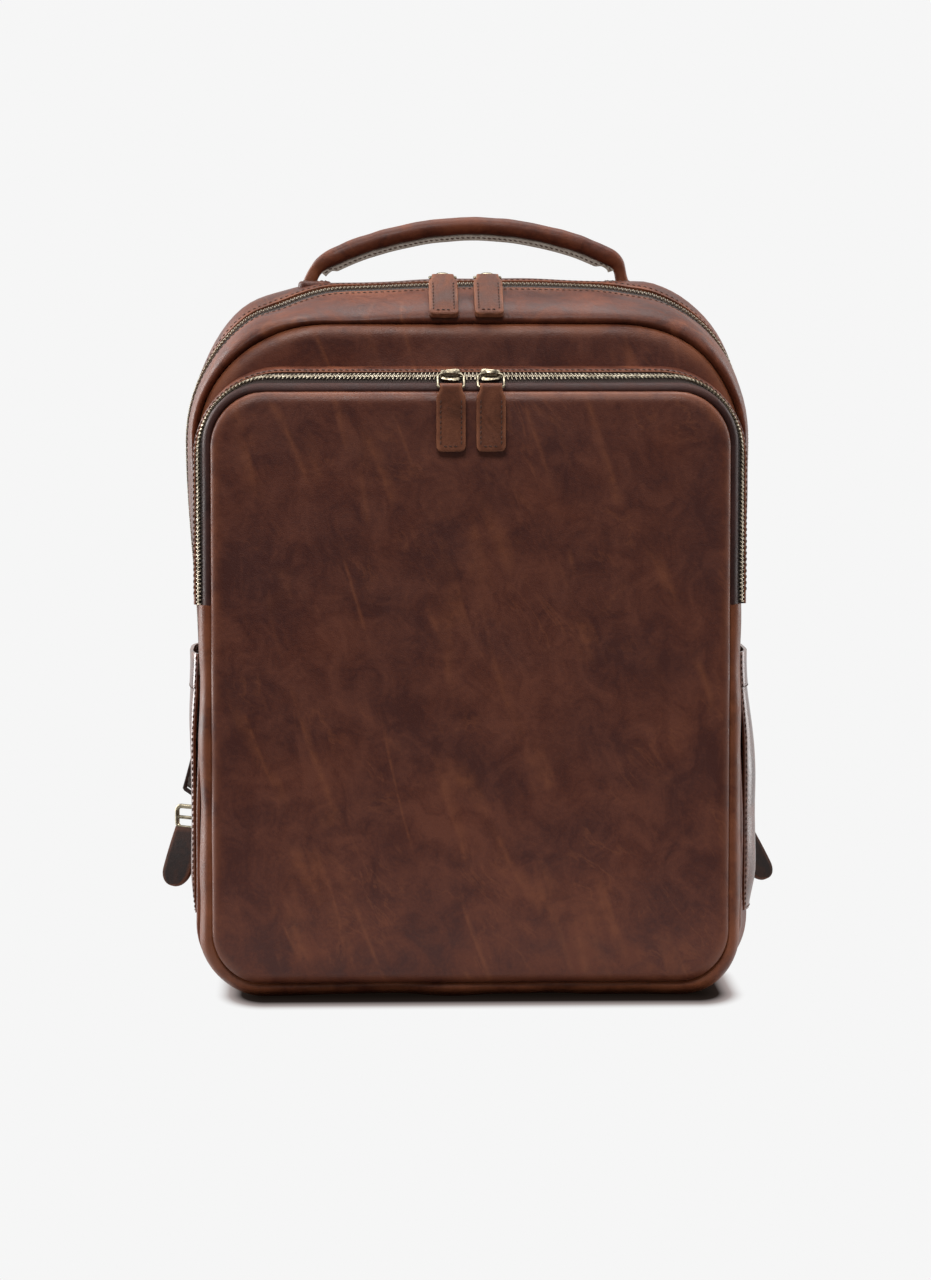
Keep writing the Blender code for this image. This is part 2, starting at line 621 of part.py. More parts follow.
def main():
    for obj in list(bpy.data.objects):
        bpy.data.objects.remove(obj)
    whole = bpy.data.collections.new("leather_backpack")
    bpy.context.scene.collection.children.link(whole)
    groups = {}
    for name in BODY_NAMES:
        groups[name] = bpy.data.collections.new(name)
        whole.children.link(groups[name])
    mats = make_materials()
    root, flap, pocket = (groups[name] for name in ("bag", "main_flap", "pocket_flap"))
    back(root, mats)
    gussets(root, mats)
    lower_fronts(root, mats)
    inside(root, mats)
    side_pocket("side_pocket_left", -1, root, mats)
    side_pocket("side_pocket_right", 1, root, mats)
    strap_base_tabs(root, mats)
    zips(root, flap, pocket, mats)
    main_flap(flap, mats)
    pocket_flap(pocket, mats)
    sliders_and_pulls(groups, mats)
    handle(root, groups["handle"], mats)
    for side_name, side in (("left", -1), ("right", 1)):
        strap_pad(f"shoulder_pad_{side_name}", side, groups[f"strap_{side_name}"], mats)
        strap_hardware(side_name, side, groups, mats)


main()
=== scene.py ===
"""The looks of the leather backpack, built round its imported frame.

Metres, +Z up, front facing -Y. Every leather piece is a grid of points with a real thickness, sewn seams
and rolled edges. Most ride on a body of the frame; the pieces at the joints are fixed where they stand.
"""

import math

import bmesh
import bpy
import numpy as np
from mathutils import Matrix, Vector, noise


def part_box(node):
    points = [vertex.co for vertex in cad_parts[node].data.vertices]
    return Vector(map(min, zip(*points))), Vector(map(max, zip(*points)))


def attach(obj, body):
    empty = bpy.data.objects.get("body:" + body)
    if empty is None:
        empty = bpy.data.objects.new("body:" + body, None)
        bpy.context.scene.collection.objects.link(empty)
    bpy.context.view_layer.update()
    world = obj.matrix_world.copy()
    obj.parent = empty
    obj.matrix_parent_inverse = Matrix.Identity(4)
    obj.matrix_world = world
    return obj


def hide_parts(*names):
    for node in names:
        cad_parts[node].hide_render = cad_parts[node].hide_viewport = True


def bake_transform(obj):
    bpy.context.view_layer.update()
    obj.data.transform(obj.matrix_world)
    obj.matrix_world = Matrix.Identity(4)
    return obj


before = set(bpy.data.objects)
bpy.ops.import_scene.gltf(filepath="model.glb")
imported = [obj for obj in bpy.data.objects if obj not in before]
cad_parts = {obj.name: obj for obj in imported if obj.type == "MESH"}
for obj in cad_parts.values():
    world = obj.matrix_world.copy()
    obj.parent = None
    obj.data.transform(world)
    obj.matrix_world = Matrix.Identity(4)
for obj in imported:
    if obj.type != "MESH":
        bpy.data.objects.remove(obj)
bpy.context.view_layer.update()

# Driving dimensions
MAIN_HINGE_Z = 0.185
SPLIT_Z = 0.215  # the front pocket's leather is two pieces here, because it bends at two joints
POCKET_HINGE_Z = 0.227
MAIN_FOLD = ((0, 0, MAIN_HINGE_Z), (0, 0, 0.213))
POCKET_FOLD = ((0, 0, 0.217), (0, 0, 0.247))
FRONT_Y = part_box("front_panel_upper")[0].y
MAIN_FRONT_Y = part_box("main_front_upper")[0].y
TOP_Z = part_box("rear_gusset")[1].z
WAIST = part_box("base_gusset")[1].x
FOOT = WAIST - 0.0026  # the sides are drawn in where the flap's leather meets the base
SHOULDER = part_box("rear_gusset")[1].x - 0.0016
BACK_FACE = 0.0566  # y of the back panel's outer face
LEATHER = 0.0022  # thickness of a band's leather
LINED = 0.0030  # thickness of the front pocket's leather with its lining
THIN = 0.0012  # thickness of the pocket's bands
TURNED, TURNED_THIN = 0.0008, 0.0006  # thickness of a turned-in edge
TAPED = 0.0007  # thickness of a zip's tape
MESH_PITCH = 0.0046
TOOTH_PITCH = 0.0023
WEAVE_SCALE = 0.31  # bands of a wave texture in one unit of its scale
TONE_SPREAD = 0.085  # how far the leather's dark and warm tones lie from the middle of its noise
SIM_FRAMES = 20
PAD_CORNER = 0.018

SLIDER_X = {"main": (-0.0148, 0.0112), "pocket": (-0.0116, 0.0112)}
# (y, z) of the plate, its slope, the angles of ring and tab from straight down, and the ring's length
SLIDERS = {
    "main": ((-0.0012, 0.4119), 15, 88, 53, 0.0105),
    "pocket": ((-0.0568, 0.3583), 57, 53, 0, 0.0125),
}
BRIDGE_RISE = 0.0020
RING_HALF = 0.0075
TAB_LENGTH = 0.0365
HANDLE_X, HANDLE_Y = 0.0890, 0.028
BUCKLE = np.array((0.1625, 0.0710, 0.0880))
BUCKLE_YAW = math.radians(38)
STRAP_FOOT = np.array((0.1440, 0.0635, 0.0400))
SIDES = (("left", -1), ("right", 1))
Y_UP, Z_UP = np.array((0, 1.0, 0)), np.array((0, 0, 1.0))

BACKGROUND = 0.9216
WORLD_FRONT, WORLD_BACK = 0.05, 0.75
FLOOR_RADIUS = 0.30
PAINTED_SHADOW_HALF = (0.124, 0.028, 1.0)  # half the size of the painted shadow patch where the bag meets the floor
PAINTED_SHADOW_SHIFT = (-0.006, 0.018, 0.0)
# how far beyond that patch the painted shadow fades to the background
SHADOW_REACH = 0.058

# (y, half width at the foot, half width at the shoulder, top z, corner width, corner height) of arches
MAIN_CREASE = (-0.0345, 0.1539, 0.1570, 0.3868, 0.075, 0.068)
BAND = (
    MAIN_CREASE,
    (-0.0376, 0.1550, 0.1588, 0.3892, 0.076, 0.070),
    (-0.0368, FOOT, 0.1602, 0.3926, 0.078, 0.073),
    (-0.0330, FOOT, 0.1614, 0.3966, 0.081, 0.077),
    (-0.0260, FOOT, 0.1624, 0.4008, 0.085, 0.082),
    (-0.0175, FOOT, 0.1630, 0.4042, 0.089, 0.086),
    (-0.0100, FOOT, 0.1633, 0.4066, 0.093, 0.089),
    (-0.0060, FOOT, SHOULDER, 0.4078, 0.095, 0.090),
)
ZIP_FRONT = (-0.0045, FOOT - 0.0003, SHOULDER - 0.0002, 0.4081, 0.095, 0.090)
ZIP_REAR = (0.0040, FOOT - 0.0003, SHOULDER - 0.0002, 0.4104, 0.093, 0.091)
REAR_BAND = (
    (0.0052, FOOT, SHOULDER, 0.4116, 0.091, 0.092),
    (0.0090, FOOT, SHOULDER + 0.0004, 0.4121, 0.086, 0.094),
    (0.0200, FOOT, SHOULDER + 0.0006, TOP_Z, 0.076, 0.097),
    (0.0330, FOOT, SHOULDER, 0.4122, 0.072, 0.098),
    (0.0450, FOOT, 0.1628, 0.4108, 0.072, 0.098),
    (0.0520, 0.1562, 0.1612, 0.4085, 0.072, 0.098),
    (0.0548, 0.1548, 0.1592, 0.4058, 0.072, 0.098),
)
# The same for the lower bands: (y, half width, bottom z, corner).
BASE_BAND = (
    (-0.0350, 0.1565, 0.0030, 0.036),
    (-0.0335, 0.1585, 0.0004, 0.039),
    (-0.0250, WAIST, 0.0, 0.040),
    (-0.0050, WAIST, 0.0, 0.040),
    (0.0200, WAIST, 0.0, 0.040),
    (0.0430, WAIST, 0.0, 0.040),
    (0.0510, 0.1583, 0.0014, 0.039),
    (0.0548, 0.1562, 0.0044, 0.037),
)
POCKET_ROLL = (
    (-0.0585, 0.1470, 0.0095, 0.027),
    (-0.0606, 0.1492, 0.0072, 0.029),
    (-0.0600, 0.1518, 0.0042, 0.031),
    (-0.0575, 0.1540, 0.0018, 0.033),
    (-0.0530, 0.1556, 0.0002, 0.035),
    (-0.0480, 0.1560, 0.0, 0.035),
    (-0.0430, 0.1556, 0.0006, 0.035),
    (-0.0385, 0.1545, 0.0020, 0.034),
)


def upright(*rows):
    """Arches whose sides are upright and whose corners are round, from (y, half width, top z, corner)."""
    return [(y, half, half, top, corner, corner) for y, half, top, corner in rows]


POCKET_STRIP = upright(
    (-0.0585, 0.1470, 0.3462, 0.0270), (-0.0612, 0.1490, 0.3490, 0.0290), (-0.0612, 0.1508, 0.3512, 0.0310),
    (-0.0598, 0.1524, 0.3530, 0.0335), (-0.0580, 0.1534, 0.3541, 0.0355),
)  # fmt: skip
POCKET_TEETH = upright((-0.0572, 0.1537, 0.3545, 0.036), (-0.0532, 0.1568, 0.3600, 0.049))
POCKET_WALL = upright(
    (-0.0540, 0.1580, 0.3602, 0.050), (-0.0524, 0.1588, 0.3617, 0.051), (-0.0470, 0.1588, 0.3626, 0.051),
    (-0.0395, 0.1584, 0.3632, 0.051),
)  # fmt: skip
# The turned-in edges inside the rear seam, the base, and both bands of the pocket's zip
REAR_TURN = (
    (0.0541, 0.1546, 0.1588, 0.4054, 0.072, 0.098),
    (0.0532, 0.1522, 0.1562, 0.4030, 0.071, 0.097),
    (0.0530, 0.1490, 0.1530, 0.3998, 0.070, 0.096),
)
BASE_TURN = (
    (0.0541, 0.1560, 0.0046, 0.037),
    (0.0532, 0.1534, 0.0072, 0.036),
    (0.0530, 0.1500, 0.0106, 0.034),
)
WALL_TURN = upright(
    (-0.0398, 0.1582, 0.3630, 0.051), (-0.0402, 0.1560, 0.3608, 0.050), (-0.0403, 0.1530, 0.3578, 0.049),
)  # fmt: skip
STRIP_TURN = upright(
    (-0.0600, 0.1472, 0.3464, 0.0270), (-0.0612, 0.1452, 0.3444, 0.0262), (-0.0616, 0.1420, 0.3412, 0.0250),
)  # fmt: skip


# Nodes and materials
class Nodes:
    """The nodes of a material or a world: each method adds some and returns an output."""

    def __init__(self, owner):
        owner.use_nodes = True
        self.owner, self.tree = owner, owner.node_tree

    def plug(self, socket, value):
        if isinstance(value, bpy.types.NodeSocket):
            self.tree.links.new(value, socket)
        else:
            socket.default_value = value

    def add(self, kind, inputs=(), output=0, **settings):
        node = self.tree.nodes.new(kind)
        for name, value in settings.items():
            setattr(node, name, value)
        for key, value in dict(inputs).items():
            self.plug(node.inputs[key], value)
        return node.outputs[output]

    def place(self):
        """Where each point of a piece lies at rest."""
        return self.add("ShaderNodeAttribute", (), "Vector", attribute_name="rest_place")

    def scaled(self, vector, scale, turn=0.0):
        """Turned about Y and then stretched."""
        if turn:
            vector = self.add("ShaderNodeMapping", {"Vector": vector, "Rotation": (0, math.radians(turn), 0)})
        return self.add("ShaderNodeMapping", {"Vector": vector, "Scale": scale})

    def noise(self, vector, scale, detail=3.0, roughness=0.55, distortion=0.0):
        inputs = {"Vector": vector, "Scale": scale, "Detail": detail, "Roughness": roughness}
        return self.add("ShaderNodeTexNoise", {**inputs, "Distortion": distortion})

    def math(self, operation, a, b=0.0, clamp=False):
        return self.add("ShaderNodeMath", {0: a, 1: b}, operation=operation, use_clamp=clamp)

    def product(self, first, *more):
        for value in more:
            first = self.math("MULTIPLY", first, value)
        return first

    def weighted(self, *terms):
        """The sum of values, each times its weight."""
        total, *more = [self.product(*term) for term in terms]
        for value in more:
            total = self.math("ADD", total, value)
        return total

    def fit(self, value, low, high, to_low=0.0, to_high=1.0):
        inputs = {"Value": value, "From Min": low, "From Max": high, "To Min": to_low, "To Max": to_high}
        return self.add("ShaderNodeMapRange", inputs, interpolation_type="SMOOTHSTEP")

    def ridge(self, value, sharp):
        """A thin line where a noise passes through its middle."""
        away = self.math("ABSOLUTE", self.math("SUBTRACT", value, 0.5))
        return self.math("SUBTRACT", 1.0, self.product(away, sharp), True)

    def vector(self, operation, a, b=(0, 0, 0), output=0):
        return self.add("ShaderNodeVectorMath", {0: a, 1: b}, output, operation=operation)

    def ramp(self, value, stops):
        out = self.add("ShaderNodeValToRGB", {"Fac": value})
        band = out.node.color_ramp
        while len(band.elements) < len(stops):
            band.elements.new(0.5)
        for element, (place, colour) in zip(band.elements, stops):
            element.position = place
            element.color = (*colour, 1)
        return out

    def tinted(self, share, colour, tint):
        return self.add("ShaderNodeMix", {0: share, 6: colour, 7: (*tint, 1)}, 2, data_type="RGBA")

    def bump(self, height, distance, strength, **inputs):
        inputs = {"Height": height, "Distance": distance, "Strength": strength, **inputs}
        return self.add("ShaderNodeBump", inputs)

    def finish(self, **values):
        """Sets the shader's own sockets, and returns the material."""
        for name, value in values.items():
            self.plug(self.tree.nodes["Principled BSDF"].inputs[name.replace("_", " ")], value)
        return self.owner


def material_nodes(name):
    return Nodes(bpy.data.materials.new(name))


def scratches(n, place, strength):
    """Long scratches and branching veins, each only in places, and broken along their length."""
    wander = n.noise(n.scaled(place, (1.0, 1.0, 0.13), 17), 26.0, 3.0, 0.45, 0.25)
    branch = n.noise(n.scaled(place, (1.0, 1.0, 0.38), 38), 40.0, 5.0, 0.6, 0.9)
    here = n.fit(n.noise(place, 17.0, 2.0, 0.5, 0.4), 0.46, 0.58)
    there = n.fit(n.noise(n.scaled(place, (1.1, 1.1, 1.1)), 21.0, 2.0, 0.5, 0.4), 0.50, 0.62)
    scratch = n.product(n.ridge(wander, 26.0), here)
    vein = n.product(n.ridge(branch, 30.0), there, 0.6)
    broken = n.fit(n.noise(place, 170.0, 3.0, 0.6), 0.28, 0.62, 0.3, 1.0)
    return n.product(n.math("MAXIMUM", scratch, vein), broken, strength)


def leather(name, dark, middle, warm, wear, rough=0.44, grain=1.0, scars=0.0, specular=0.4):
    """Waxed pull-up leather: cloudy colour, pores and fine creases, and a lighter tone where it is bent, from the
    piece's edge attribute, which on the pocket's roll also holds painted light.
    """
    n = material_nodes(name)
    place = n.place()
    cloud = n.noise(place, 19.0, 3.0, 0.5, 0.4)
    blotch = n.noise(n.scaled(place, (1.0, 1.0, 0.80), 22), 58.0, 7.0, 0.68, 0.8)
    speck = n.noise(place, 520.0, 2.0, 0.6)
    tone = n.weighted((cloud, 0.34), (blotch, 0.52), (speck, 0.14))
    colour = n.ramp(tone, [(0.5 - TONE_SPREAD, dark), (0.5, middle), (0.5 + 1.2 * TONE_SPREAD, warm)])
    pores = n.add("ShaderNodeTexVoronoi", {"Vector": place, "Scale": 1250.0})
    wrinkle = n.noise(n.scaled(place, (1, 1, 1.6)), 330.0, 4.0, 0.62)
    height = n.weighted((wrinkle, 0.7), (pores, 0.5))
    if scars:
        scar = scratches(n, place, scars)
        colour = n.tinted(scar, colour, wear)
        height = n.math("SUBTRACT", height, n.product(scar, 0.7))
    edge = n.add("ShaderNodeAttribute", (), "Fac", attribute_name="edge")
    wear_and_painted_light = n.math("MULTIPLY", edge, n.fit(n.noise(place, 60.0, 4.0, 0.6), 0.25, 0.6), True)
    fine = n.bump(height, 0.00025 * grain, 0.6)
    return n.finish(
        Base_Color=n.tinted(wear_and_painted_light, colour, wear),
        Roughness=n.fit(blotch, 0.3, 0.7, rough - 0.08, rough + 0.10),
        Normal=n.bump(n.noise(place, 24.0, 2.0, 0.5), 0.0016 * grain, 0.35, Normal=fine),
        Specular_IOR_Level=specular,
    )


def fibrous(name, stretch, scale, detail, jagged, dark, light, rough, depth):
    """Loose fibres or twisted yarn, from one fine noise."""
    n = material_nodes(name)
    fibre = n.noise(n.scaled(n.place(), (1, 1, stretch)), scale, detail, jagged)
    colour = n.ramp(fibre, [(0.3, dark), (0.7, light)])
    return n.finish(Base_Color=colour, Roughness=rough, Normal=n.bump(fibre, depth, 0.6))


def woven(name, dark, light, pitches=(0.0011, 0.0011)):
    """A plain weave along the piece's own UV, in metres."""
    n = material_nodes(name)
    uv = n.add("ShaderNodeUVMap", uv_map="weave")
    yarns = []
    for way, pitch, direction in zip(((1, 0, 0), (0, 1, 0)), pitches, "XY"):
        inputs = {"Vector": n.scaled(uv, way), "Scale": WEAVE_SCALE / pitch}
        yarns.append(n.add("ShaderNodeTexWave", inputs, "Fac", wave_type="BANDS", bands_direction=direction))
    fluff = n.noise(n.place(), 900.0, 3.0, 0.7)
    tone = n.weighted((*yarns, 0.6), (fluff, 0.4))
    return n.finish(
        Base_Color=n.ramp(tone, [(0.15, dark), (0.75, light)]), Roughness=0.9,
        Normal=n.bump(tone, 0.0003, 0.7), Sheen_Weight=0.15, Sheen_Roughness=0.5,
    )  # fmt: skip


def air_mesh():
    """Spacer mesh of a pad: staggered rows of small round holes in a soft knit."""
    n = material_nodes("air_mesh")
    split = n.add("ShaderNodeSeparateXYZ", {0: n.add("ShaderNodeUVMap", uv_map="weave")})
    across, up = (n.math("COSINE", n.product(split.node.outputs[k], math.tau / MESH_PITCH)) for k in (0, 1))
    grid = n.product(n.math("ADD", n.product(across, up), 1.0), 0.5)
    between = n.fit(grid, 0.62, 0.88, 1.0, 0.0)
    knit = n.noise(n.place(), 1300.0, 3.0, 0.65)
    tone = n.product(between, n.math("ADD", 0.55, n.product(knit, 0.7)))
    stops = [(0.05, (0.008, 0.0055, 0.005)), (0.55, (0.034, 0.023, 0.019)), (0.95, (0.066, 0.045, 0.036))]
    return n.finish(
        Base_Color=n.ramp(tone, stops), Roughness=0.88, Normal=n.bump(tone, 0.0008, 0.9), Sheen_Weight=0.12
    )  # fmt: skip


def metal(name, low, high, rough):
    """Antique brass, rubbed bright in places."""
    n = material_nodes(name)
    rub = n.noise(n.place(), 260.0, 4.0, 0.6)
    colour = n.ramp(rub, [(0.35, low), (0.62, high)])
    roughness = n.fit(rub, 0.3, 0.7, rough + 0.1, rough - 0.06)
    return n.finish(Base_Color=colour, Roughness=roughness, Metallic=1.0, Normal=n.bump(rub, 0.00006, 0.5))


WORN = (0.29, 0.095, 0.038)  # the tone of the body's leather where it is bent or rubbed, and on the pocket's roll painted light
BODY = leather(
    "leather", (0.062, 0.0160, 0.0085), (0.104, 0.0268, 0.0122), (0.158, 0.0430, 0.0180), WORN,
    scars=0.35, specular=0.28,
)  # fmt: skip
FRONT = leather(
    "front_leather", (0.062, 0.0168, 0.0118), (0.090, 0.0238, 0.0136), (0.124, 0.0338, 0.0172),
    (0.205, 0.064, 0.028), scars=0.55, specular=0.36,
)  # fmt: skip
POCKET = leather(
    "pocket_leather", (0.062, 0.0170, 0.0110), (0.104, 0.0280, 0.0150), (0.158, 0.0440, 0.0210), WORN,
    rough=0.22, grain=0.4, scars=0.25, specular=0.9,
)  # fmt: skip
STRIP = leather(
    "strip_leather", (0.030, 0.0115, 0.0095), (0.043, 0.0160, 0.0130), (0.060, 0.0225, 0.017),
    (0.12, 0.045, 0.027), rough=0.52, specular=0.2,
)  # fmt: skip
TAB = leather(
    "tab_leather", (0.080, 0.0245, 0.0120), (0.118, 0.0360, 0.0172), (0.176, 0.058, 0.0275),
    (0.26, 0.095, 0.046), rough=0.54, grain=1.3, specular=0.25,
)  # fmt: skip
TAIL = leather(
    "tail_leather", (0.010, 0.0052, 0.0045), (0.016, 0.0078, 0.0062), (0.034, 0.0145, 0.010),
    (0.095, 0.034, 0.018), rough=0.60, specular=0.12,
)  # fmt: skip
RAW = fibrous("raw_edge", 3, 500.0, 4.0, 0.7, (0.22, 0.175, 0.14), (0.44, 0.39, 0.335), 0.85, 0.0003)
THREAD = fibrous("thread", 1, 1500.0, 2.0, 0.6, (0.035, 0.014, 0.009), (0.105, 0.046, 0.030), 0.7, 0.0001)
TAPE = woven("zip_tape", (0.022, 0.012, 0.010), (0.085, 0.055, 0.045))
LINING = woven("lining_twill", (0.070, 0.048, 0.032), (0.150, 0.112, 0.080), (0.0009, 0.0014))
MESH = air_mesh()
TEETH = metal("teeth_brass", (0.26, 0.215, 0.155), (0.56, 0.485, 0.37), 0.38)
BRASS = metal("antique_brass", (0.12, 0.100, 0.068), (0.46, 0.400, 0.285), 0.32)


# Grids
def spline(knots, count):
    """Points evenly spaced in number along a Catmull-Rom curve through the knots."""
    knots = np.asarray(knots, float)
    ends = np.vstack([2 * knots[0] - knots[1], knots, 2 * knots[-1] - knots[-2]])
    place = np.linspace(0, len(knots) - 1, count)
    i = np.minimum(place.astype(int), len(knots) - 2)
    t = (place - i)[:, None]
    a, b, c, d = (ends[i + k] for k in range(4))
    return 0.5 * (2 * b + (c - a) * t + (2 * a - 5 * b + 4 * c - d) * t**2 + (3 * b - a - 3 * c + d) * t**3)


def smoothstep(low, high, value):
    t = np.clip((np.asarray(value, float) - low) / (high - low), 0, 1)
    return t * t * (3 - 2 * t)


def settle(points):
    """A soft bag isn't even: its top sinks at the left, and its right shoulder stands fuller."""
    x, z = points[..., 0].copy(), points[..., 2].copy()
    dip = 0.0034 * np.exp(-(((x + 0.110) / 0.015) ** 2))
    dip = dip + 0.0024 * smoothstep(0.0, 0.080, -x) * (1 - smoothstep(0.088, 0.116, -x))
    dip = dip + 0.0014 * smoothstep(0.03, 0.085, x) * (1 - smoothstep(0.090, 0.106, x))
    points[..., 2] -= dip * smoothstep(0.385, 0.400, z)
    points[..., 0] += 0.0048 * smoothstep(0.060, 0.125, x) * smoothstep(0.345, 0.392, z)
    return points


CORNER, FLAT, SIDE = 22, 30, 34  # points on each stretch of half an arch


def arch(shape, start_z):
    """(n, 3) points over the top, from the left foot at start_z to the right foot."""
    y, foot, shoulder, top, corner_x, corner_z = shape
    shoulder_z = top - corner_z
    flat_x = np.linspace(0, shoulder - corner_x, FLAT, endpoint=False)
    angle = np.linspace(math.pi / 2, 0, CORNER)
    share = np.linspace(0, 1, SIDE + 1)[1:]
    side_x = shoulder + (foot - shoulder) * smoothstep(0, 1, share)
    side_z = shoulder_z + (start_z - shoulder_z) * share
    x = np.concatenate([flat_x, shoulder - corner_x + corner_x * np.cos(angle), side_x])
    z = np.concatenate([np.full(FLAT, top), shoulder_z + corner_z * np.sin(angle), side_z])
    right = np.stack([x, np.full(len(x), y), z], 1)
    left = right[:0:-1] * (-1, 1, 1)
    return np.vstack([left, right])


def lean(y, z):
    """How far the lower sides have shifted to the right, as the bag stands."""
    low = 0.0030 * (1 - smoothstep(0.12, 0.185, z))
    return low * smoothstep(-0.034, -0.010, y) * (1 - smoothstep(0.046, 0.054, y))


def cup(row, start_z, drawn_in):
    """(n, 3) points from the right end at start_z, round the bottom, to the left end."""
    y, half_width, bottom, corner = row
    side_z = np.linspace(start_z, bottom + corner, SIDE, endpoint=False)
    angle = np.linspace(0, math.pi / 2, CORNER)
    flat_x = np.linspace(half_width - corner, 0, FLAT)[1:]
    side_x = half_width - drawn_in * smoothstep(0.09, 0.185, side_z)
    x = np.concatenate([side_x, half_width - corner + corner * np.cos(angle), flat_x])
    z = np.concatenate([side_z, bottom + corner - corner * np.sin(angle), np.full(len(flat_x), bottom)])
    right = np.stack([x, np.full(len(x), y), z], 1)
    left = right[-2::-1] * (-1, 1, 1)
    return np.vstack([right, left])


def arches(shapes, start_z, count, settled=True):
    """A grid of that many rows, each an arch, that passes smoothly through the shapes."""
    rows = np.array([arch(shape, start_z) for shape in spline(shapes, count)])
    return settle(rows) if settled else rows


def cups(shapes, start_z, count, drawn_in=0.0):
    """The same for the lower bands. drawn_in narrows them towards their top."""
    return np.array([cup(shape, start_z, drawn_in) for shape in spline(shapes, count)])


def normals(grid):
    """Unit normals of a grid, out of the side that its rows and columns turn round to the left."""
    along = np.gradient(grid, axis=1)
    across = np.gradient(grid, axis=0)
    out = np.cross(along, across)
    return out / np.maximum(np.linalg.norm(out, axis=-1, keepdims=True), 1e-12)


def waves(points, size, seed):
    """Smooth noise from about -0.5 to 0.5 at each point, with features of that size."""
    flat = points.reshape(-1, 3) / size + seed * 7.31
    return np.array([noise.noise(Vector(p)) for p in flat]).reshape(points.shape[:-1])


def soften(grid, size, height, seed, keep=0.0):
    """Pushes a grid in and out along its normals. keep is the share of its rows at each edge that stay down."""
    push = waves(grid, size, seed) * height
    if keep:
        v = np.linspace(0, 1, grid.shape[0])[:, None]
        push = push * smoothstep(0, keep, v) * smoothstep(0, keep, 1 - v)
    return grid + normals(grid) * push[..., None]


def lengths(points, axis):
    """Distance travelled along an axis of a grid, in metres."""
    steps = np.linalg.norm(np.diff(points, axis=axis), axis=-1)
    start = np.zeros_like(np.take(steps, [0], axis=axis))
    return np.cumsum(np.concatenate([start, steps], axis=axis), axis=axis)


def new_object(name, points, faces, material):
    """A smooth-shaded mesh object of one material."""
    mesh = bpy.data.meshes.new(name)
    mesh.from_pydata([tuple(p) for p in points], [], [tuple(f) for f in faces])
    mesh.shade_smooth()
    obj = bpy.data.objects.new(name, mesh)
    bpy.context.scene.collection.objects.link(obj)
    mesh.materials.append(material)
    return obj


def quads(index):
    """The faces between the rows and columns of a grid of point numbers."""
    return np.stack([index[:-1, :-1], index[:-1, 1:], index[1:, 1:], index[1:, :-1]], -1).reshape(-1, 4)


def dress(mesh, grid, edge=0.0, again=()):
    """Gives a mesh its weave UV in metres and its edge wear. again: the grid points that it holds twice."""
    u = np.median(lengths(grid, 1), axis=0)
    v = np.median(lengths(grid, 0), axis=1)
    flat = np.stack(np.meshgrid(u, v), -1).reshape(-1, 2)
    wear_and_painted_light = np.broadcast_to(edge, grid.shape[:2]).ravel()
    flat, wear_and_painted_light = (np.concatenate([values, values[list(again)]]).astype(np.float32) for values in (flat, wear_and_painted_light))
    corners = np.empty(len(mesh.loops), np.int32)
    mesh.loops.foreach_get("vertex_index", corners)
    mesh.uv_layers.new(name="weave").data.foreach_set("uv", flat[corners].ravel())
    mesh.attributes.new("edge", "FLOAT", "POINT").data.foreach_set("value", wear_and_painted_light)


def patch(name, grid, material, inside=None, thickness=0.0, edge=0.0, round_rows=False, round_columns=False):
    """A grid as a mesh, with a real thickness inwards. Its rows or its columns may close on themselves."""
    index = np.arange(grid.shape[0] * grid.shape[1]).reshape(grid.shape[:2])
    if round_rows:
        index = np.hstack([index, index[:, :1]])
    if round_columns:
        index = np.vstack([index, index[:1]])
    obj = new_object(name, grid.reshape(-1, 3), quads(index), material)
    dress(obj.data, grid, edge)
    if thickness:
        solid = obj.modifiers.new("Thickness", "SOLIDIFY")
        solid.thickness = thickness
        solid.offset = -1
    if inside:
        obj.data.materials.append(inside)
        solid.material_offset = 1
    return obj


def box_uv(mesh):
    """A weave UV in metres for a mesh that isn't a grid, seen square on to each face."""
    layer = mesh.uv_layers.new(name="weave").data
    for face in mesh.polygons:
        axis = max(range(3), key=lambda k: abs(face.normal[k]))
        for corner in face.loop_indices:
            point = mesh.vertices[mesh.loops[corner].vertex_index].co
            layer[corner].uv = [point[k] for k in range(3) if k != axis]


def baked(obj):
    """Applies an object's modifiers, and stores where each point rests for its materials."""
    bpy.context.view_layer.update()
    graph = bpy.context.evaluated_depsgraph_get()
    final = obj.evaluated_get(graph)
    mesh = bpy.data.meshes.new_from_object(final, preserve_all_data_layers=True, depsgraph=graph)
    obj.modifiers.clear()
    mesh.name = obj.data.name
    obj.data = mesh
    if not mesh.uv_layers:
        box_uv(mesh)
    for name, kind in (("rest_place", "FLOAT_VECTOR"), ("edge", "FLOAT")):
        if name not in mesh.attributes:
            mesh.attributes.new(name, kind, "POINT")
    place = np.array([obj.matrix_world @ v.co for v in mesh.vertices], np.float32)
    mesh.attributes["rest_place"].data.foreach_set("vector", place.ravel())
    return obj


def put(obj, body, replaces=(), bend=None, crease=55):
    """Finishes a piece: its final mesh, the body that it rides on, and what it stands for. A piece given a bend
    rides on no body and is fixed where it stands.
    """
    obj = baked(obj)
    obj.data.set_sharp_from_angle(angle=math.radians(crease))
    if bend:
        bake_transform(obj)
    else:
        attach(obj, body)
    if replaces:
        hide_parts(*replaces)
    return obj


def bunched(count, reach):
    """Shares from -1 to 1, closer together towards both ends. reach is how far up a sine they go."""
    return np.sin(np.linspace(-1, 1, count) * math.pi / 2 * reach) / math.sin(math.pi / 2 * reach)


def rim_wear(rows, low, high):
    """Wear along the first and the last rows of a grid."""
    v = np.linspace(0, 1, rows)[:, None]
    return low * (1 - smoothstep(0, 0.22, v)) + high * smoothstep(0.78, 1, v)


TO_MAIN_FLAP = ("main_flap", MAIN_FOLD)
TO_POCKET_FLAP = ("pocket_flap", POCKET_FOLD)


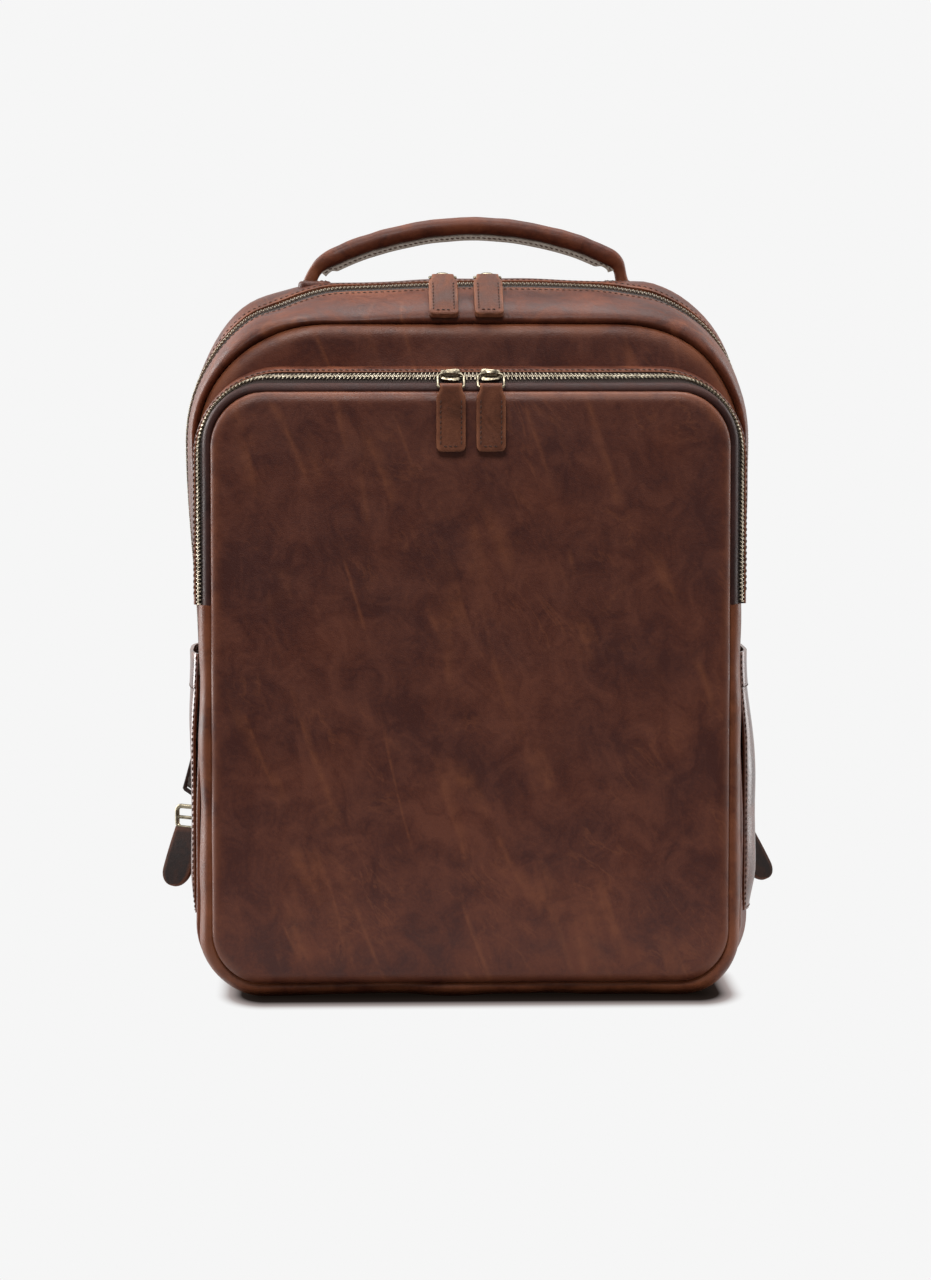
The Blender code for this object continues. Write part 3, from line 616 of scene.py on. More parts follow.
# Panels
class Panel:
    """A flat, foam-backed panel with round corners, whose edge rolls back into its seam."""

    def __init__(self, y, half_width, low, high, low_corner, high_corner, roll, depth, waist=0.0):
        self.y, self.half_width, self.low, self.high = y, half_width, low, high
        self.low_corner, self.high_corner = low_corner, high_corner
        self.roll, self.depth, self.waist = roll, depth, waist

    def width_at(self, z):
        """Half the width at a height, with elliptical corners (width, height)."""
        up = np.clip((z - (self.high - self.high_corner[1])) / self.high_corner[1], 0, 1)
        down = np.clip((self.low + self.low_corner[1] - z) / self.low_corner[1], 0, 1)
        top = self.high_corner[0] * (1 - np.sqrt(1 - up**2))
        bottom = self.low_corner[0] * (1 - np.sqrt(1 - down**2))
        narrow = self.waist * np.exp(-(((z - 0.19) / 0.07) ** 2))
        return self.half_width - top - bottom - narrow

    def heights(self, low, high, step=0.0042):
        """Heights of the rows: even on the straight, close together where a corner or an edge curves."""
        angle = np.linspace(0, math.pi / 2, 26)
        top = self.high - self.high_corner[1] * (1 - np.sin(angle))
        bottom = self.low + self.low_corner[1] * (1 - np.sin(angle))
        straight = np.arange(bottom.max(), top.min(), step)
        near = np.array([0.0003, 0.0008, 0.0014, 0.0022, 0.0031, 0.0041, 0.0052])
        found = np.concatenate([bottom, straight, top, self.high - near, self.low + near])
        found = np.unique(np.round(found[(found > low + 0.0006) & (found < high - 0.0006)], 5))
        return np.concatenate([[low], found, [high]])

    def inset(self, x, z):
        """How far a point lies inside the outline, roughly."""
        steps = []
        for corner, end, way in ((self.high_corner, self.high, 1), (self.low_corner, self.low, -1)):
            centre_x = self.half_width - corner[0]
            centre_z = end - way * corner[1]
            dx = np.maximum(np.abs(x) - centre_x, 0) / corner[0]
            dz = np.maximum(way * (z - centre_z), 0) / corner[1]
            size = np.where((dx > 0) & (dz > 0), min(corner), np.where(dx > dz, corner[0], corner[1]))
            steps.append((1 - np.hypot(dx, dz)) * size)
        straight = self.width_at(z) - np.abs(x)
        corner_zone = (z > self.high - self.high_corner[1]) | (z < self.low + self.low_corner[1])
        round_part = np.minimum(*steps)
        return np.maximum(np.where(corner_zone, round_part, np.minimum(straight, round_part + 0.02)), 0)

    def grid(self, low, high, seed, wave=0.0012):
        """The points between two heights, gently uneven, and how worn each is: 1 at the outline."""
        z = self.heights(low, high)
        from_edge = np.concatenate([
            [0, 0.0003, 0.0007, 0.0013, 0.0021, 0.0031, 0.0043, 0.0058, 0.0077, 0.0102, 0.0135, 0.0175],
            np.arange(0.0225, self.half_width, 0.0052),
        ])  # fmt: skip
        share = 1 - from_edge / self.half_width
        share = np.concatenate([-share, share[::-1]])
        x = self.width_at(z)[:, None] * share[None, :]
        z = np.broadcast_to(z[:, None], x.shape)
        depth_in = self.inset(x, z)
        t = np.clip(1 - depth_in / self.roll, 0, 1)
        y = self.y + self.depth * (1 - np.sqrt(np.maximum(1 - t**2, 0)))
        points = np.stack([x, y, z], -1)
        calm = smoothstep(0.002, 0.03, depth_in)
        points[..., 1] -= wave * calm * (waves(points, 0.085, seed) + 0.4 * waves(points, 0.03, seed + 3))
        edge = 1 - smoothstep(0.0, 1.15 * self.roll, depth_in)
        return points, edge


FRONT_PANEL = Panel(FRONT_Y, 0.1488, 0.0085, 0.3492, (0.030, 0.030), (0.032, 0.032), 0.0065, 0.0048)
MAIN_PANEL = Panel(MAIN_FRONT_Y, 0.1564, 0.0030, 0.3870, (0.036, 0.036), MAIN_CREASE[4:], 0.0085, 0.0050, 0.0032)


def front_panels():
    """The front pocket's big panel, in two lengths that meet where neither joint bends it."""
    for part, low, high, wear, body, nodes, bend in (
        ("lower", FRONT_PANEL.low, SPLIT_Z, 0.55, "bag", ("lower", "middle"), TO_MAIN_FLAP),
        ("upper", SPLIT_Z, FRONT_PANEL.high, 0.9, "main_flap", ("upper",), TO_POCKET_FLAP),
    ):
        grid, edge = FRONT_PANEL.grid(low, high, 1)
        panel = patch(f"pocket_panel_{part}", grid, FRONT, LINING, LINED, edge * wear)
        put(panel, body, [f"front_panel_{node}" for node in nodes], bend)


def main_panels():
    """The main compartment's front panel behind the pocket."""
    middle = MAIN_HINGE_Z
    for part, low, high, bend in (("lower", 0.003, middle, None), ("upper", middle, 0.3872, TO_MAIN_FLAP)):
        grid, edge = MAIN_PANEL.grid(low, high, 4, 0.0022)
        panel = patch(f"main_panel_{part}", settle(grid), FRONT, LINING, 0.0024, edge)
        put(panel, "bag", (f"main_front_{part}",), bend)


# Bands
def sewn(name, grid, material, thickness, edge, shares):
    """A grid of leather with rows of stitches along it at those shares of its width."""
    parts = [patch(name, grid, material, LINING, thickness, edge)]
    for share in shares:
        line, out = row_of(grid, share)
        parts.append(seam("seam", line[2:-2], out[2:-2]))
    return merged(name, *parts)


def bands():
    """The gussets: fat rolls of leather beside the main zip, the base, and the front pocket's sides."""
    start, count = MAIN_HINGE_Z, 26
    rows = soften(arches(BAND, start, count), 0.05, 0.0016, 11, 0.25)
    band = sewn("front_band", rows, BODY, LEATHER, rim_wear(count, 0.0, 0.45), (0.90,))
    put(band, "bag", ("front_gusset",), TO_MAIN_FLAP)
    rows = soften(arches(REAR_BAND, start, count), 0.05, 0.0014, 12, 0.2)
    band = sewn("rear_band", rows, BODY, LEATHER, rim_wear(count, 0.5, 0.3), (0.13, 0.90))
    put(band, "bag", ("rear_gusset",))
    rows = soften(cups(BASE_BAND, start, count, WAIST - FOOT), 0.06, 0.0010, 13, 0.2)
    rows[..., 0] += lean(rows[..., 1], rows[..., 2]) * (1 + 0.6 * smoothstep(0.12, 0.15, rows[..., 0]))
    band = patch("base_band", rows, BODY, LINING, LEATHER, rim_wear(count, 0.4, 0.4))
    put(band, "bag", ("base_gusset",))
    start, count = POCKET_HINGE_Z, 22
    rows = soften(cups(POCKET_ROLL, start, count), 0.035, 0.0018, 14, 0.2)
    # The 0.35 added to the roll's wear is painted light: it lightens the whole roll, whose underside the lamps
    # leave dark.
    roll = patch("pocket_roll", rows, BODY, LINING, 0.0018, rim_wear(count, 0.2, 0.0) + 0.35)
    nodes = ("pocket_base_gusset", "pocket_gusset_left", "pocket_gusset_right")
    put(roll, "bag", nodes, TO_MAIN_FLAP)
    strip = patch("pocket_strip", arches(POCKET_STRIP, start, 14, False), STRIP, LINING, THIN)
    put(strip, "main_flap", ("pocket_zip_tape_front",), TO_POCKET_FLAP)
    rows = arches(POCKET_WALL, start, 12, False)
    wall = sewn("pocket_wall", rows, BODY, THIN, rim_wear(12, 0.7, 0.0), (0.22,))
    put(wall, "main_flap", ("pocket_zip_tape_rear",))


def turnings():
    """The turned-in edges of the leather along the seams, seen only from inside."""
    pocket = POCKET_HINGE_Z
    for name, rows, thickness, body, bend in (
        ("rear_turning", arches(REAR_TURN, MAIN_HINGE_Z, 5), TURNED, "bag", None),
        ("base_turning", cups(BASE_TURN, MAIN_HINGE_Z, 5, WAIST - FOOT), TURNED, "bag", None),
        ("pocket_wall_turning", arches(WALL_TURN, pocket, 5, False), TURNED_THIN, "main_flap", None),
        ("pocket_strip_turning", arches(STRIP_TURN, pocket, 5, False), TURNED_THIN, "main_flap", TO_POCKET_FLAP),
    ):
        put(patch(name, rows, LINING, thickness=thickness), body, (), bend)


# Hardware and stitching
def unit(vectors):
    return vectors / np.maximum(np.linalg.norm(vectors, axis=-1, keepdims=True), 1e-12)


def stations(line, pitch, start):
    """A function that reads an array, given at a line's points, at even distances along the line."""
    travelled = lengths(line[None], 1)[0]
    at = np.arange(start * pitch, travelled[-1] - 0.3 * pitch, pitch)

    def read(values):
        return np.stack([np.interp(at, travelled, values[:, k]) for k in range(values.shape[1])], 1)

    return read


def tube_faces(rings, sides):
    """The faces between neighbouring rings of points."""
    ring = np.arange(sides)
    after = (ring + 1) % sides
    faces = np.stack([ring, after, sides + after, sides + ring], 1)
    return (np.arange(rings - 1)[:, None, None] * sides + faces).reshape(-1, 4).tolist()


def copies(name, shape, faces, place, axes, material):
    """The same small shape at many places. Its points are in the three axes given at each place."""
    points = place[:, None] + np.einsum("pk,nkc->npc", shape, np.stack(axes, 1))
    starts = np.arange(len(place))[:, None, None] * len(shape)
    return new_object(name, points.reshape(-1, 3), (starts + np.array(faces)).reshape(-1, 4), material)


def seam(name, line, out, pitch=0.0034, length=0.0024, radius=0.00033, lift=0.0):
    """A row of stitches along a line, whose threads lean a little."""
    read = stations(line, pitch, 0.5)
    along = unit(read(np.gradient(line, axis=0)))
    up = unit(read(out))
    across = unit(np.cross(along, up))
    along = unit(along + across * 0.16)
    shape = []
    end, near, middle = (0.35, -0.5), (0.9, 0.25), (1.0, 0.6)
    for s, (size, h) in ((-0.5, end), (-0.33, near), (0.0, middle), (0.33, near), (0.5, end)):
        for k in range(6):
            angle = math.tau * k / 6
            wide, high = math.cos(angle) * size * radius, math.sin(angle) * size * radius
            shape.append((s * length, wide, high + h * radius))
    return copies(name, np.array(shape), tube_faces(5, 6), read(line) + up * lift, (along, across, up), THREAD)


def row_of(grid, share):
    """A line along a grid at that share of its rows, and the grid's normals there."""
    at = share * (grid.shape[0] - 1)
    i = min(int(at), grid.shape[0] - 2)
    out = normals(grid)
    return grid[i] + (grid[i + 1] - grid[i]) * (at - i), unit(out[i] + (out[i + 1] - out[i]) * (at - i))


def chain(name, front, rear, start_z, side, settled):
    """One side's teeth of a zip: side is -1 for the front row and 1 for the rear."""
    lines = [arch(shape, start_z) for shape in (front, rear)]
    if settled:
        lines = [settle(line) for line in lines]
    middle = (lines[0] + lines[1]) / 2
    read = stations(middle, TOOTH_PITCH, 0.25 if side < 0 else 0.75)
    along = unit(read(np.gradient(middle, axis=0)))
    across = unit(read(lines[1] - lines[0]))
    up = unit(np.cross(along, across))
    shape = []
    for u, half, top in ((-0.0024, 0.00026, 0.0011), (-0.0006, 0.00032, 0.0014), (0.0007, 0.00046, 0.0012)):
        shape += [(s * half, -side * u, h * top) for s, h in ((-1, 0), (-0.75, 1), (0.75, 1), (1, 0))]
    faces = tube_faces(3, 4) + [[3, 2, 1, 0], [8, 9, 10, 11]]
    if side > 0:
        faces = [face[::-1] for face in faces]
    return copies(name, np.array(shape), faces, read(middle), (along, across, up), TEETH)


def merged(name, *objects):
    """Several objects as one mesh with all their materials."""
    objects = [baked(obj) for obj in objects]
    with bpy.context.temp_override(
        active_object=objects[0], object=objects[0], selected_objects=objects, selected_editable_objects=objects
    ):  # fmt: skip
        bpy.ops.object.join()
    objects[0].name = name
    return objects[0]


def section(half_width, half_thickness, round_by, groove, crown):
    """Points (u, w) round a strap cut across: round corners, a line between its two layers, a crowned face."""
    across = np.linspace(-1, 1, 9) * (half_width - round_by)
    corner = [(math.sin(a), math.cos(a)) for a in (0.5, 1.05)]
    right = [(half_width - round_by + round_by * s, half_thickness - round_by * (1 - c)) for s, c in corner]
    lip = 0.35 * half_thickness
    side = [(half_width, lip), (half_width - groove, 0.0), (half_width, -lip)]
    bulge = crown * (1 - (across / max(half_width, 1e-6)) ** 2)
    top = [(u, half_thickness + b) for u, b in zip(across, bulge)]
    half = right + side + [(u, -w) for u, w in right[::-1]]
    bottom = [(u, -half_thickness) for u in across[::-1]]
    other = [(-u, -w) for u, w in half]
    return np.array(top + half + bottom + other)


def strap(name, path, across, out, half_widths, half_thickness, material, round_by, groove, crown=0.0):
    """A flat leather strap along a path, closed at both ends."""
    rows, wear_and_painted_light = [], []
    thickness = np.broadcast_to(half_thickness, len(path))
    for point, sideways, facing, half, thick in zip(path, across, out, half_widths, thickness):
        cut = section(half, thick, min(round_by, thick * 0.6, half * 0.5), min(groove, half * 0.2), crown)
        rows.append(point + cut[:, :1] * sideways + cut[:, 1:] * facing)
        wear_and_painted_light.append(smoothstep(half - 0.0016, half - 0.0002, np.abs(cut[:, 0])))
    rows = np.array(rows)
    first, last = (np.broadcast_to(rows[k].mean(axis=0), rows[k].shape) for k in (0, -1))
    wear_and_painted_light = np.array([wear_and_painted_light[0], *wear_and_painted_light, wear_and_painted_light[-1]])
    wear_and_painted_light[:3] = np.maximum(wear_and_painted_light[:3], 0.5)
    wear_and_painted_light[-3:] = 1
    return patch(name, np.concatenate([first[None], rows, last[None]]), material, edge=wear_and_painted_light, round_rows=True)


def sweep(name, path, radii, up, material, sides=12, closed=False, edge=0.0):
    """A tube along a path. radii is one number, or (n, 2) numbers: across and up."""
    path = np.asarray(path, float)
    radii = np.broadcast_to(radii, (len(path), 2))
    way = np.roll(path, -1, 0) - np.roll(path, 1, 0) if closed else np.gradient(path, axis=0)
    way = unit(way)
    side = unit(np.cross(way, np.asarray(up, float)))
    top = np.cross(side, way)
    angle = -np.arange(sides) * math.tau / sides
    grid = path[:, None] + side[:, None] * (radii[:, :1] * np.cos(angle))[..., None]
    grid = grid + top[:, None] * (radii[:, 1:] * np.sin(angle))[..., None]
    return patch(name, grid, material, edge=edge, round_rows=True, round_columns=closed)


def plate(name, outline, low, high, axes, material, bevel=0.0006, segments=3):
    """A flat plate with soft edges. axes is (origin, across, along, out)."""
    origin, across, along, out = (np.asarray(a, float) for a in axes)
    count = len(outline)
    points = [origin + across * u + along * v + out * h for h in (low, high) for u, v in outline]
    faces = tube_faces(2, count) + [list(range(count))[::-1], list(range(count, 2 * count))]
    obj = new_object(name, points, faces, material)
    shape = bmesh.new()
    shape.from_mesh(obj.data)
    bmesh.ops.recalc_face_normals(shape, faces=shape.faces)
    shape.to_mesh(obj.data)
    shape.free()
    soft = obj.modifiers.new("Soft", "BEVEL")
    soft.width = bevel
    soft.segments = segments
    soft.limit_method = "ANGLE"
    soft.angle_limit = math.radians(40)
    return obj


def round_box(half_x, half_y, corner):
    """Outline of a rounded rectangle about the origin."""
    points = []
    for k, (sx, sy) in enumerate(((1, 1), (-1, 1), (-1, -1), (1, -1))):
        for step in range(7):
            angle = math.pi / 2 * (k + step / 6)
            x, y = sx * (half_x - corner), sy * (half_y - corner)
            points.append((x + corner * math.cos(angle), y + corner * math.sin(angle)))
    return points


# Zips
def below(shape, by):
    """An arch that lies that much lower and further in."""
    y, foot, shoulder, top, corner_x, corner_z = shape
    return (y + 0.3 * by, foot - by, shoulder - by, top - by, corner_x - by, corner_z - by)


def zip_pieces(name, tapes, teeth, start_z, body, bend):
    """A zip's tapes and rows of teeth. What is in front of its middle is fixed where it stands, like the leather
    there.
    """
    main = name == "main"
    for row, tape, bending in zip(("front", "rear"), tapes, (bend, None)):
        nodes = (f"main_zip_tape_{row}",) if main else ()
        put(patch(f"{name}_tape_{row}", tape, TAPE, thickness=TAPED), body, nodes, bending)
    for row, side, bending in (("front", -1, bend), ("rear", 1, None)):
        obj = chain(f"{name}_teeth_{row}", *teeth, start_z, side, main)
        put(obj, body, (f"{name}_zip_teeth_{row}",), bending)


def zips():
    """Both zips: teeth in two rows, each on a woven tape that is sewn under the leather."""
    start, low = MAIN_HINGE_Z, 0.0003
    y, *rest = np.mean((ZIP_FRONT, ZIP_REAR), axis=0)
    tuck_front = below((-0.0090, FOOT, SHOULDER, 0.4070, 0.094, 0.089), 0.0030)
    tuck_rear = below((0.0085, FOOT, SHOULDER, 0.4120, 0.087, 0.093), 0.0030)
    front = arches((tuck_front, below(ZIP_FRONT, low), below((y - 0.0002, *rest), low)), start, 7)
    rear = arches((below((y + 0.0002, *rest), low), below(ZIP_REAR, low), tuck_rear), start, 7)
    zip_pieces("main", (front, rear), (ZIP_FRONT, ZIP_REAR), start, "bag", TO_MAIN_FLAP)
    start, low = POCKET_HINGE_Z, 0.0006
    middle = below(np.mean(POCKET_TEETH, axis=0), low)
    front = arches((below(POCKET_STRIP[-1], low), middle), start, 4, False)
    rear = arches((middle, below(POCKET_WALL[0], low)), start, 4, False)
    zip_pieces("pocket", (front, rear), POCKET_TEETH, start, "main_flap", TO_POCKET_FLAP)


def slider(name, x, place, slope, way):
    """A cast slider: a shield-shaped plate with two noses, and a domed bridge for its ring."""
    out = np.array((0, -math.sin(slope), math.cos(slope)))
    along = np.array((0, math.cos(slope), math.sin(slope)))
    axes = ((x, *place), (way, 0, 0), along, out)
    half = [(-0.0057, 0.0022), (-0.0048, 0.0032), (-0.0018, 0.0036), (0.0020, 0.0041), (0.0047, 0.0040)]
    half.append((0.0058, 0.0026))
    outline = [(-0.0060, 0.0)] + half + [(0.0042, 0.0)] + [(u, -v) for u, v in half[::-1]]
    body = plate(name, outline, -0.0006, 0.0007, axes, BRASS, 0.0004)
    t = np.linspace(-1, 1, 17)
    path = np.array(axes[0]) + (0.0049 * t)[:, None] * np.array((way, 0, 0))
    path = path + (0.0004 + 0.0036 * (1 - t**4))[:, None] * out
    radii = np.stack([0.0016 * np.sqrt(np.maximum(1 - (0.75 * t) ** 2, 0)), 0.00065 + 0 * t], 1)
    return merged(name, body, sweep("bridge", path, radii, out + np.array((1e-3, 0, 0)), BRASS, 14))


def pull_ring(name, top, down, length):
    """The wire ring between a slider and its tab."""
    points = []
    for cx, cv, r, first in ((1, 0, 0.0042, 90), (1, 1, 0.0017, 0), (-1, 1, 0.0017, -90), (-1, 0, 0.0042, 180)):
        for step in range(7):
            angle = math.radians(first - 15 * step)
            u = cx * (RING_HALF - r) + r * math.cos(angle)
            v = (length - r if cv else r) - r * math.sin(angle)
            points.append(top + np.array((u, 0, 0)) + down * v)
    return sweep(name, points, 0.00078, np.cross(down, (1, 0, 0)), BRASS, 10, True)


def pull_tab(name, top, angle, seed):
    """A strip of leather folded over the ring and sewn to itself: two rows of stitches and one across its end."""
    down = np.array((0, -math.sin(angle), -math.cos(angle)))
    out = np.array((0, -math.cos(angle), math.sin(angle)))
    v = np.concatenate([
        [-0.0022, -0.00205, -0.0016, -0.0008, 0.0, 0.001, 0.0022, 0.0036, 0.0052, 0.0070],
        np.arange(0.009, 0.0325, 0.0018),
        TAB_LENGTH - np.array((0.0036, 0.0028, 0.0019, 0.0011, 0.0005, 0.0002, 0.0)),
    ])  # fmt: skip
    neck, wide, corner = 0.0064, 0.0084, 0.0034
    half = neck + (wide - neck) * smoothstep(0.0012, 0.0062, v)
    near_end = np.clip((v - (TAB_LENGTH - corner)) / corner, 0, 1)
    half = half - corner * (1 - np.sqrt(1 - near_end**2)) * 0.75
    thick = 0.0022 * np.sqrt(np.clip(1 - (np.minimum(v, 0) / 0.00222) ** 2, 0, 1))
    thick = thick - 0.0003 * smoothstep(0.004, 0.012, v) - 0.0006 * smoothstep(TAB_LENGTH - 0.0008, TAB_LENGTH, v)

    def curl(at):
        return 0.0005 * waves(np.stack([at, 0 * at, 0 * at], 1), 0.012, seed) + 0.0006 * (at / TAB_LENGTH) ** 2

    path = top + down * v[:, None] + out * curl(v)[:, None]
    sideways, facing = (np.broadcast_to(a, path.shape) for a in ((-1.0, 0, 0), out))
    rows = [strap(name, path, sideways, facing, half, np.maximum(thick, 0.0002), TAB, 0.0007, 0.0004, 0.0003)]
    low, high, aside = 0.0068, TAB_LENGTH - 0.0030, wide - 0.0025
    turn = aside - 0.0012
    share = np.linspace(0, 1, 40)[:, None]
    for a, b in (((-aside, low), (-aside, high)), ((aside, low), (aside, high)), ((-turn, high), (turn, high))):
        spot = np.array(a) * (1 - share) + np.array(b) * share
        for face in (1, -1):
            line = top + spot[:, :1] * np.array((1.0, 0, 0)) + down * spot[:, 1:] + out * face * 0.0023
            line = line + out * curl(spot[:, 1])[:, None]
            rows.append(seam("seam", line, np.broadcast_to(out * face, line.shape), 0.0029, 0.0019, 0.00034))
    return merged(name, *rows)


def pulls():
    """The sliders of both zips, each with its ring and its tab."""
    for zip_name, (place, slope, ring_angle, tab_angle, ring_length) in SLIDERS.items():
        slope, ring_way = math.radians(slope), math.radians(ring_angle)
        down = np.array((0, -math.sin(ring_way), -math.cos(ring_way)))
        bar_y, bar_z = place[0] - BRIDGE_RISE * math.sin(slope), place[1] + BRIDGE_RISE * math.cos(slope)
        for (side, way), x in zip(SIDES, SLIDER_X[zip_name]):
            obj = slider(f"{zip_name}_slider_body_{side}", x, place, slope, -way)
            put(obj, f"{zip_name}_slider_{side}_body", (f"{zip_name}_slider_{side}",))
            bar = np.array((x, bar_y, bar_z))
            ring = pull_ring(f"{zip_name}_ring_wire_{side}", bar, down, ring_length)
            put(ring, f"{zip_name}_ring_{side}_body", (f"{zip_name}_pull_{side}_ring",))
            top = bar + down * ring_length
            tab = pull_tab(f"{zip_name}_tab_leather_{side}", top, math.radians(tab_angle), int(x * 1e4))
            put(tab, f"{zip_name}_tab_{side}_body", (f"{zip_name}_pull_{side}_tab",), crease=38)


# Handle


def handle():
    """A rolled handle on flattened ends, with the raw edges of its seam sewn together along the underside."""
    half = [(0.0925, 0.4095), (0.0910, 0.4135), (0.0894, 0.4175), (0.0868, 0.4214), (0.0828, 0.4246)]
    half += [(0.0770, 0.4274), (0.0700, 0.4303), (0.0600, 0.4339), (0.0462, 0.4379), (0.0288, 0.4413)]
    half += [(0.0120, 0.4433), (0.0, 0.4437)]
    knots = [(x, HANDLE_Y, z) for x, z in half] + [(-x, HANDLE_Y, z) for x, z in half[-2::-1]]
    path = spline(knots, 141)
    foot = 1 - smoothstep(0.4160, 0.4270, path[:, 2])
    path[:, 0] += 0.0036 * smoothstep(0.4095, 0.432, path[:, 2])
    path[:, 2] += 0.0004 * waves(path, 0.02, 5)
    radii = np.stack([0.0051 - 0.0014 * foot, 0.0051 - 0.0026 * foot], 1)
    radii[[0, -1]] *= 0.3
    radii *= (1 + 0.05 * waves(path, 0.008, 2))[:, None]
    wear = np.broadcast_to((0.25 * smoothstep(0.2, 0.5, waves(path, 0.03, 8)) + 0.35 * foot)[:, None], (141, 20))
    rows = [sweep("handle_leather", path, radii, Y_UP, BODY, 20, edge=wear)]
    inner = path[14:-14]
    down = unit(np.cross(unit(np.gradient(inner, axis=0)), -Y_UP))
    down *= np.where(down[:, 2:] > 0, -1, 1)
    reach = 0.0048 + 0.0018 * smoothstep(0.0, 0.004, 0.083 - np.abs(inner[:, 0]))
    middle = inner + down * reach[:, None]
    front, rear = (np.broadcast_to(face * Y_UP, middle.shape) for face in (-1, 1))
    rows.append(strap("flange", middle, down, front, np.full(len(middle), 0.0021), 0.0013, RAW, 0.0003, 0.0002))
    for facing in (front, rear):
        rows.append(seam("seam", middle + down * 0.0004 + facing * 0.00135, facing, 0.0031, 0.0021, 0.0003))
    nodes = ("handle_roll", "handle_core", "handle_tab_left", "handle_tab_right")
    put(merged("handle_leather", *rows), "carry_handle", nodes)
    for side_name, side in SIDES:
        name = f"handle_base_{side_name}"
        axes = ((side * HANDLE_X, HANDLE_Y, 0), (1, 0, 0), Y_UP, Z_UP)
        base = plate(name, round_box(0.0098, 0.0135, 0.0060), 0.4060, 0.4112, axes, BODY, 0.0022, 5)
        inner = round_box(0.0066, 0.0102, 0.0034)
        ring = np.array([(side * HANDLE_X + u, HANDLE_Y + v, 0.4112) for u, v in inner])
        stitches = seam("seam", ring, np.broadcast_to(Z_UP, ring.shape), 0.0030, 0.0021)
        put(merged(name, base, stitches), "bag", (f"handle_patch_{side_name}",))


# Padded pieces
def border_of(shape):
    """Which points of a grid lie on its border."""
    border = np.ones(shape[:2], bool)
    border[1:-1, 1:-1] = False
    return border


def pillow(name, top, bottom, materials, edge=0.0):
    """A closed piece between two grids that share their border, with a material each."""
    border = border_of(top.shape)
    index = np.arange(border.size).reshape(border.shape)
    under = index.copy()
    under[~border] = border.size + np.arange((~border).sum())
    faces = np.concatenate([quads(index), quads(under)[:, ::-1]])
    obj = new_object(name, np.concatenate([top.reshape(-1, 3), bottom[~border]]), faces, materials[0])
    obj.data.materials.append(materials[1])
    obj.data.polygons.foreach_set("material_index", np.repeat([0, 1], len(faces) // 2).astype(np.int32))
    dress(obj.data, top, edge, np.flatnonzero(~border))
    return obj


def inflate(obj, sewn, pressure, cap, spread=0.03):
    """Blows a closed piece up as cloth whose seams stay where they are. No point moves further than its cap."""
    scene = bpy.context.scene
    group = obj.vertex_groups.new(name="sewn")
    group.add([int(k) for k in sewn], 1.0, "REPLACE")
    cloth = obj.modifiers.new("Cloth", "CLOTH")
    cloth.point_cache.frame_start = 1
    cloth.point_cache.frame_end = SIM_FRAMES
    how = cloth.settings
    how.vertex_group_mass = "sewn"
    how.quality = 6
    how.mass = 0.2
    how.tension_stiffness = how.compression_stiffness = 12
    how.shear_stiffness = 6
    how.bending_stiffness = 0.15
    how.shrink_min = -spread
    how.use_pressure = True
    how.uniform_pressure_force = pressure
    how.effector_weights.gravity = 0
    for frame in range(1, SIM_FRAMES + 1):
        scene.frame_set(frame)
    moved = obj.evaluated_get(bpy.context.evaluated_depsgraph_get()).to_mesh()
    new = np.empty(len(moved.vertices) * 3)
    moved.vertices.foreach_get("co", new)
    old = np.empty_like(new)
    obj.data.vertices.foreach_get("co", old)
    step = (new - old).reshape(-1, 3)
    far = np.linalg.norm(step, axis=1, keepdims=True)
    step = step * np.minimum(1, cap / np.maximum(far, 1e-9))
    obj.modifiers.remove(cloth)
    obj.data.vertices.foreach_set("co", (old.reshape(-1, 3) + step).ravel())
    obj.data.update()
    scene.frame_set(1)


def smoothed(obj):
    """One level of subdivision, which rounds off the steps of the simulation."""
    level = obj.modifiers.new("Smooth", "SUBSURF")
    level.levels = level.render_levels = 1
    return obj


def back_pad(name, low, high, half_width, centre_x, channels):
    """A mesh-covered foam pad, sewn down round its edge and along its channels."""
    corner = (PAD_CORNER, PAD_CORNER)
    shape = Panel(0, half_width, low, high, corner, corner, 0.010, 0.0)
    z = shape.heights(low, high, 0.0048)
    x = -shape.width_at(z)[:, None] * bunched(27, 0.94)
    z = np.broadcast_to(z[:, None], x.shape)
    pressed = np.zeros(x.shape)
    for channel in channels:
        pressed = np.maximum(pressed, np.exp(-(((z - channel) / 0.0042) ** 2)))
    rise = 0.0065 * np.sqrt(1 - np.clip(1 - shape.inset(x, z) / 0.014, 0, 1) ** 2)
    rise = rise * (1 - 0.72 * pressed) + 0.0005
    face_y = BACK_FACE + 0.0006
    top, bottom = (np.stack([centre_x + x, y, z], -1) for y in (face_y + rise, np.full(x.shape, face_y)))
    obj = pillow(f"{name}_mesh", top, bottom, (MESH, LINING))
    border = border_of(x.shape)
    sewn = np.flatnonzero(border | (pressed > 0.82))
    inflate(obj, np.concatenate([sewn, x.size + np.arange((~border).sum())]), 5.0, 0.0030)
    ring = np.concatenate([top[0], top[1:-1, -1], top[-1, ::-1], top[-2:0:-1, 0], top[:1, 0]])
    piping = sweep("piping", ring + (0, 0.0004, 0), 0.0014, Y_UP, TAIL, 8)
    pad = merged(f"{name}_mesh", smoothed(obj), piping)
    put(pad, "bag", (name,))


# Back


def back_axes(way):
    """Origin, across, along and out for a flat piece on the back."""
    return (0, BACK_FACE, 0), (way, 0, 0), Z_UP, Y_UP


def sewn_plate(name, node, outline, thick, way, centre, inner, bevel, segments):
    """A flat leather piece on the back, with a row of stitches inside its outline."""
    axes = back_axes(way)
    body = plate(name, outline, 0.0002, thick, axes, BODY, bevel, segments)
    loop = [tuple(centre + (np.array(p) - centre) * inner) for p in outline]
    put(merged(name, body, flat_seam(loop, axes, thick + 0.00005)), "bag", (node,))


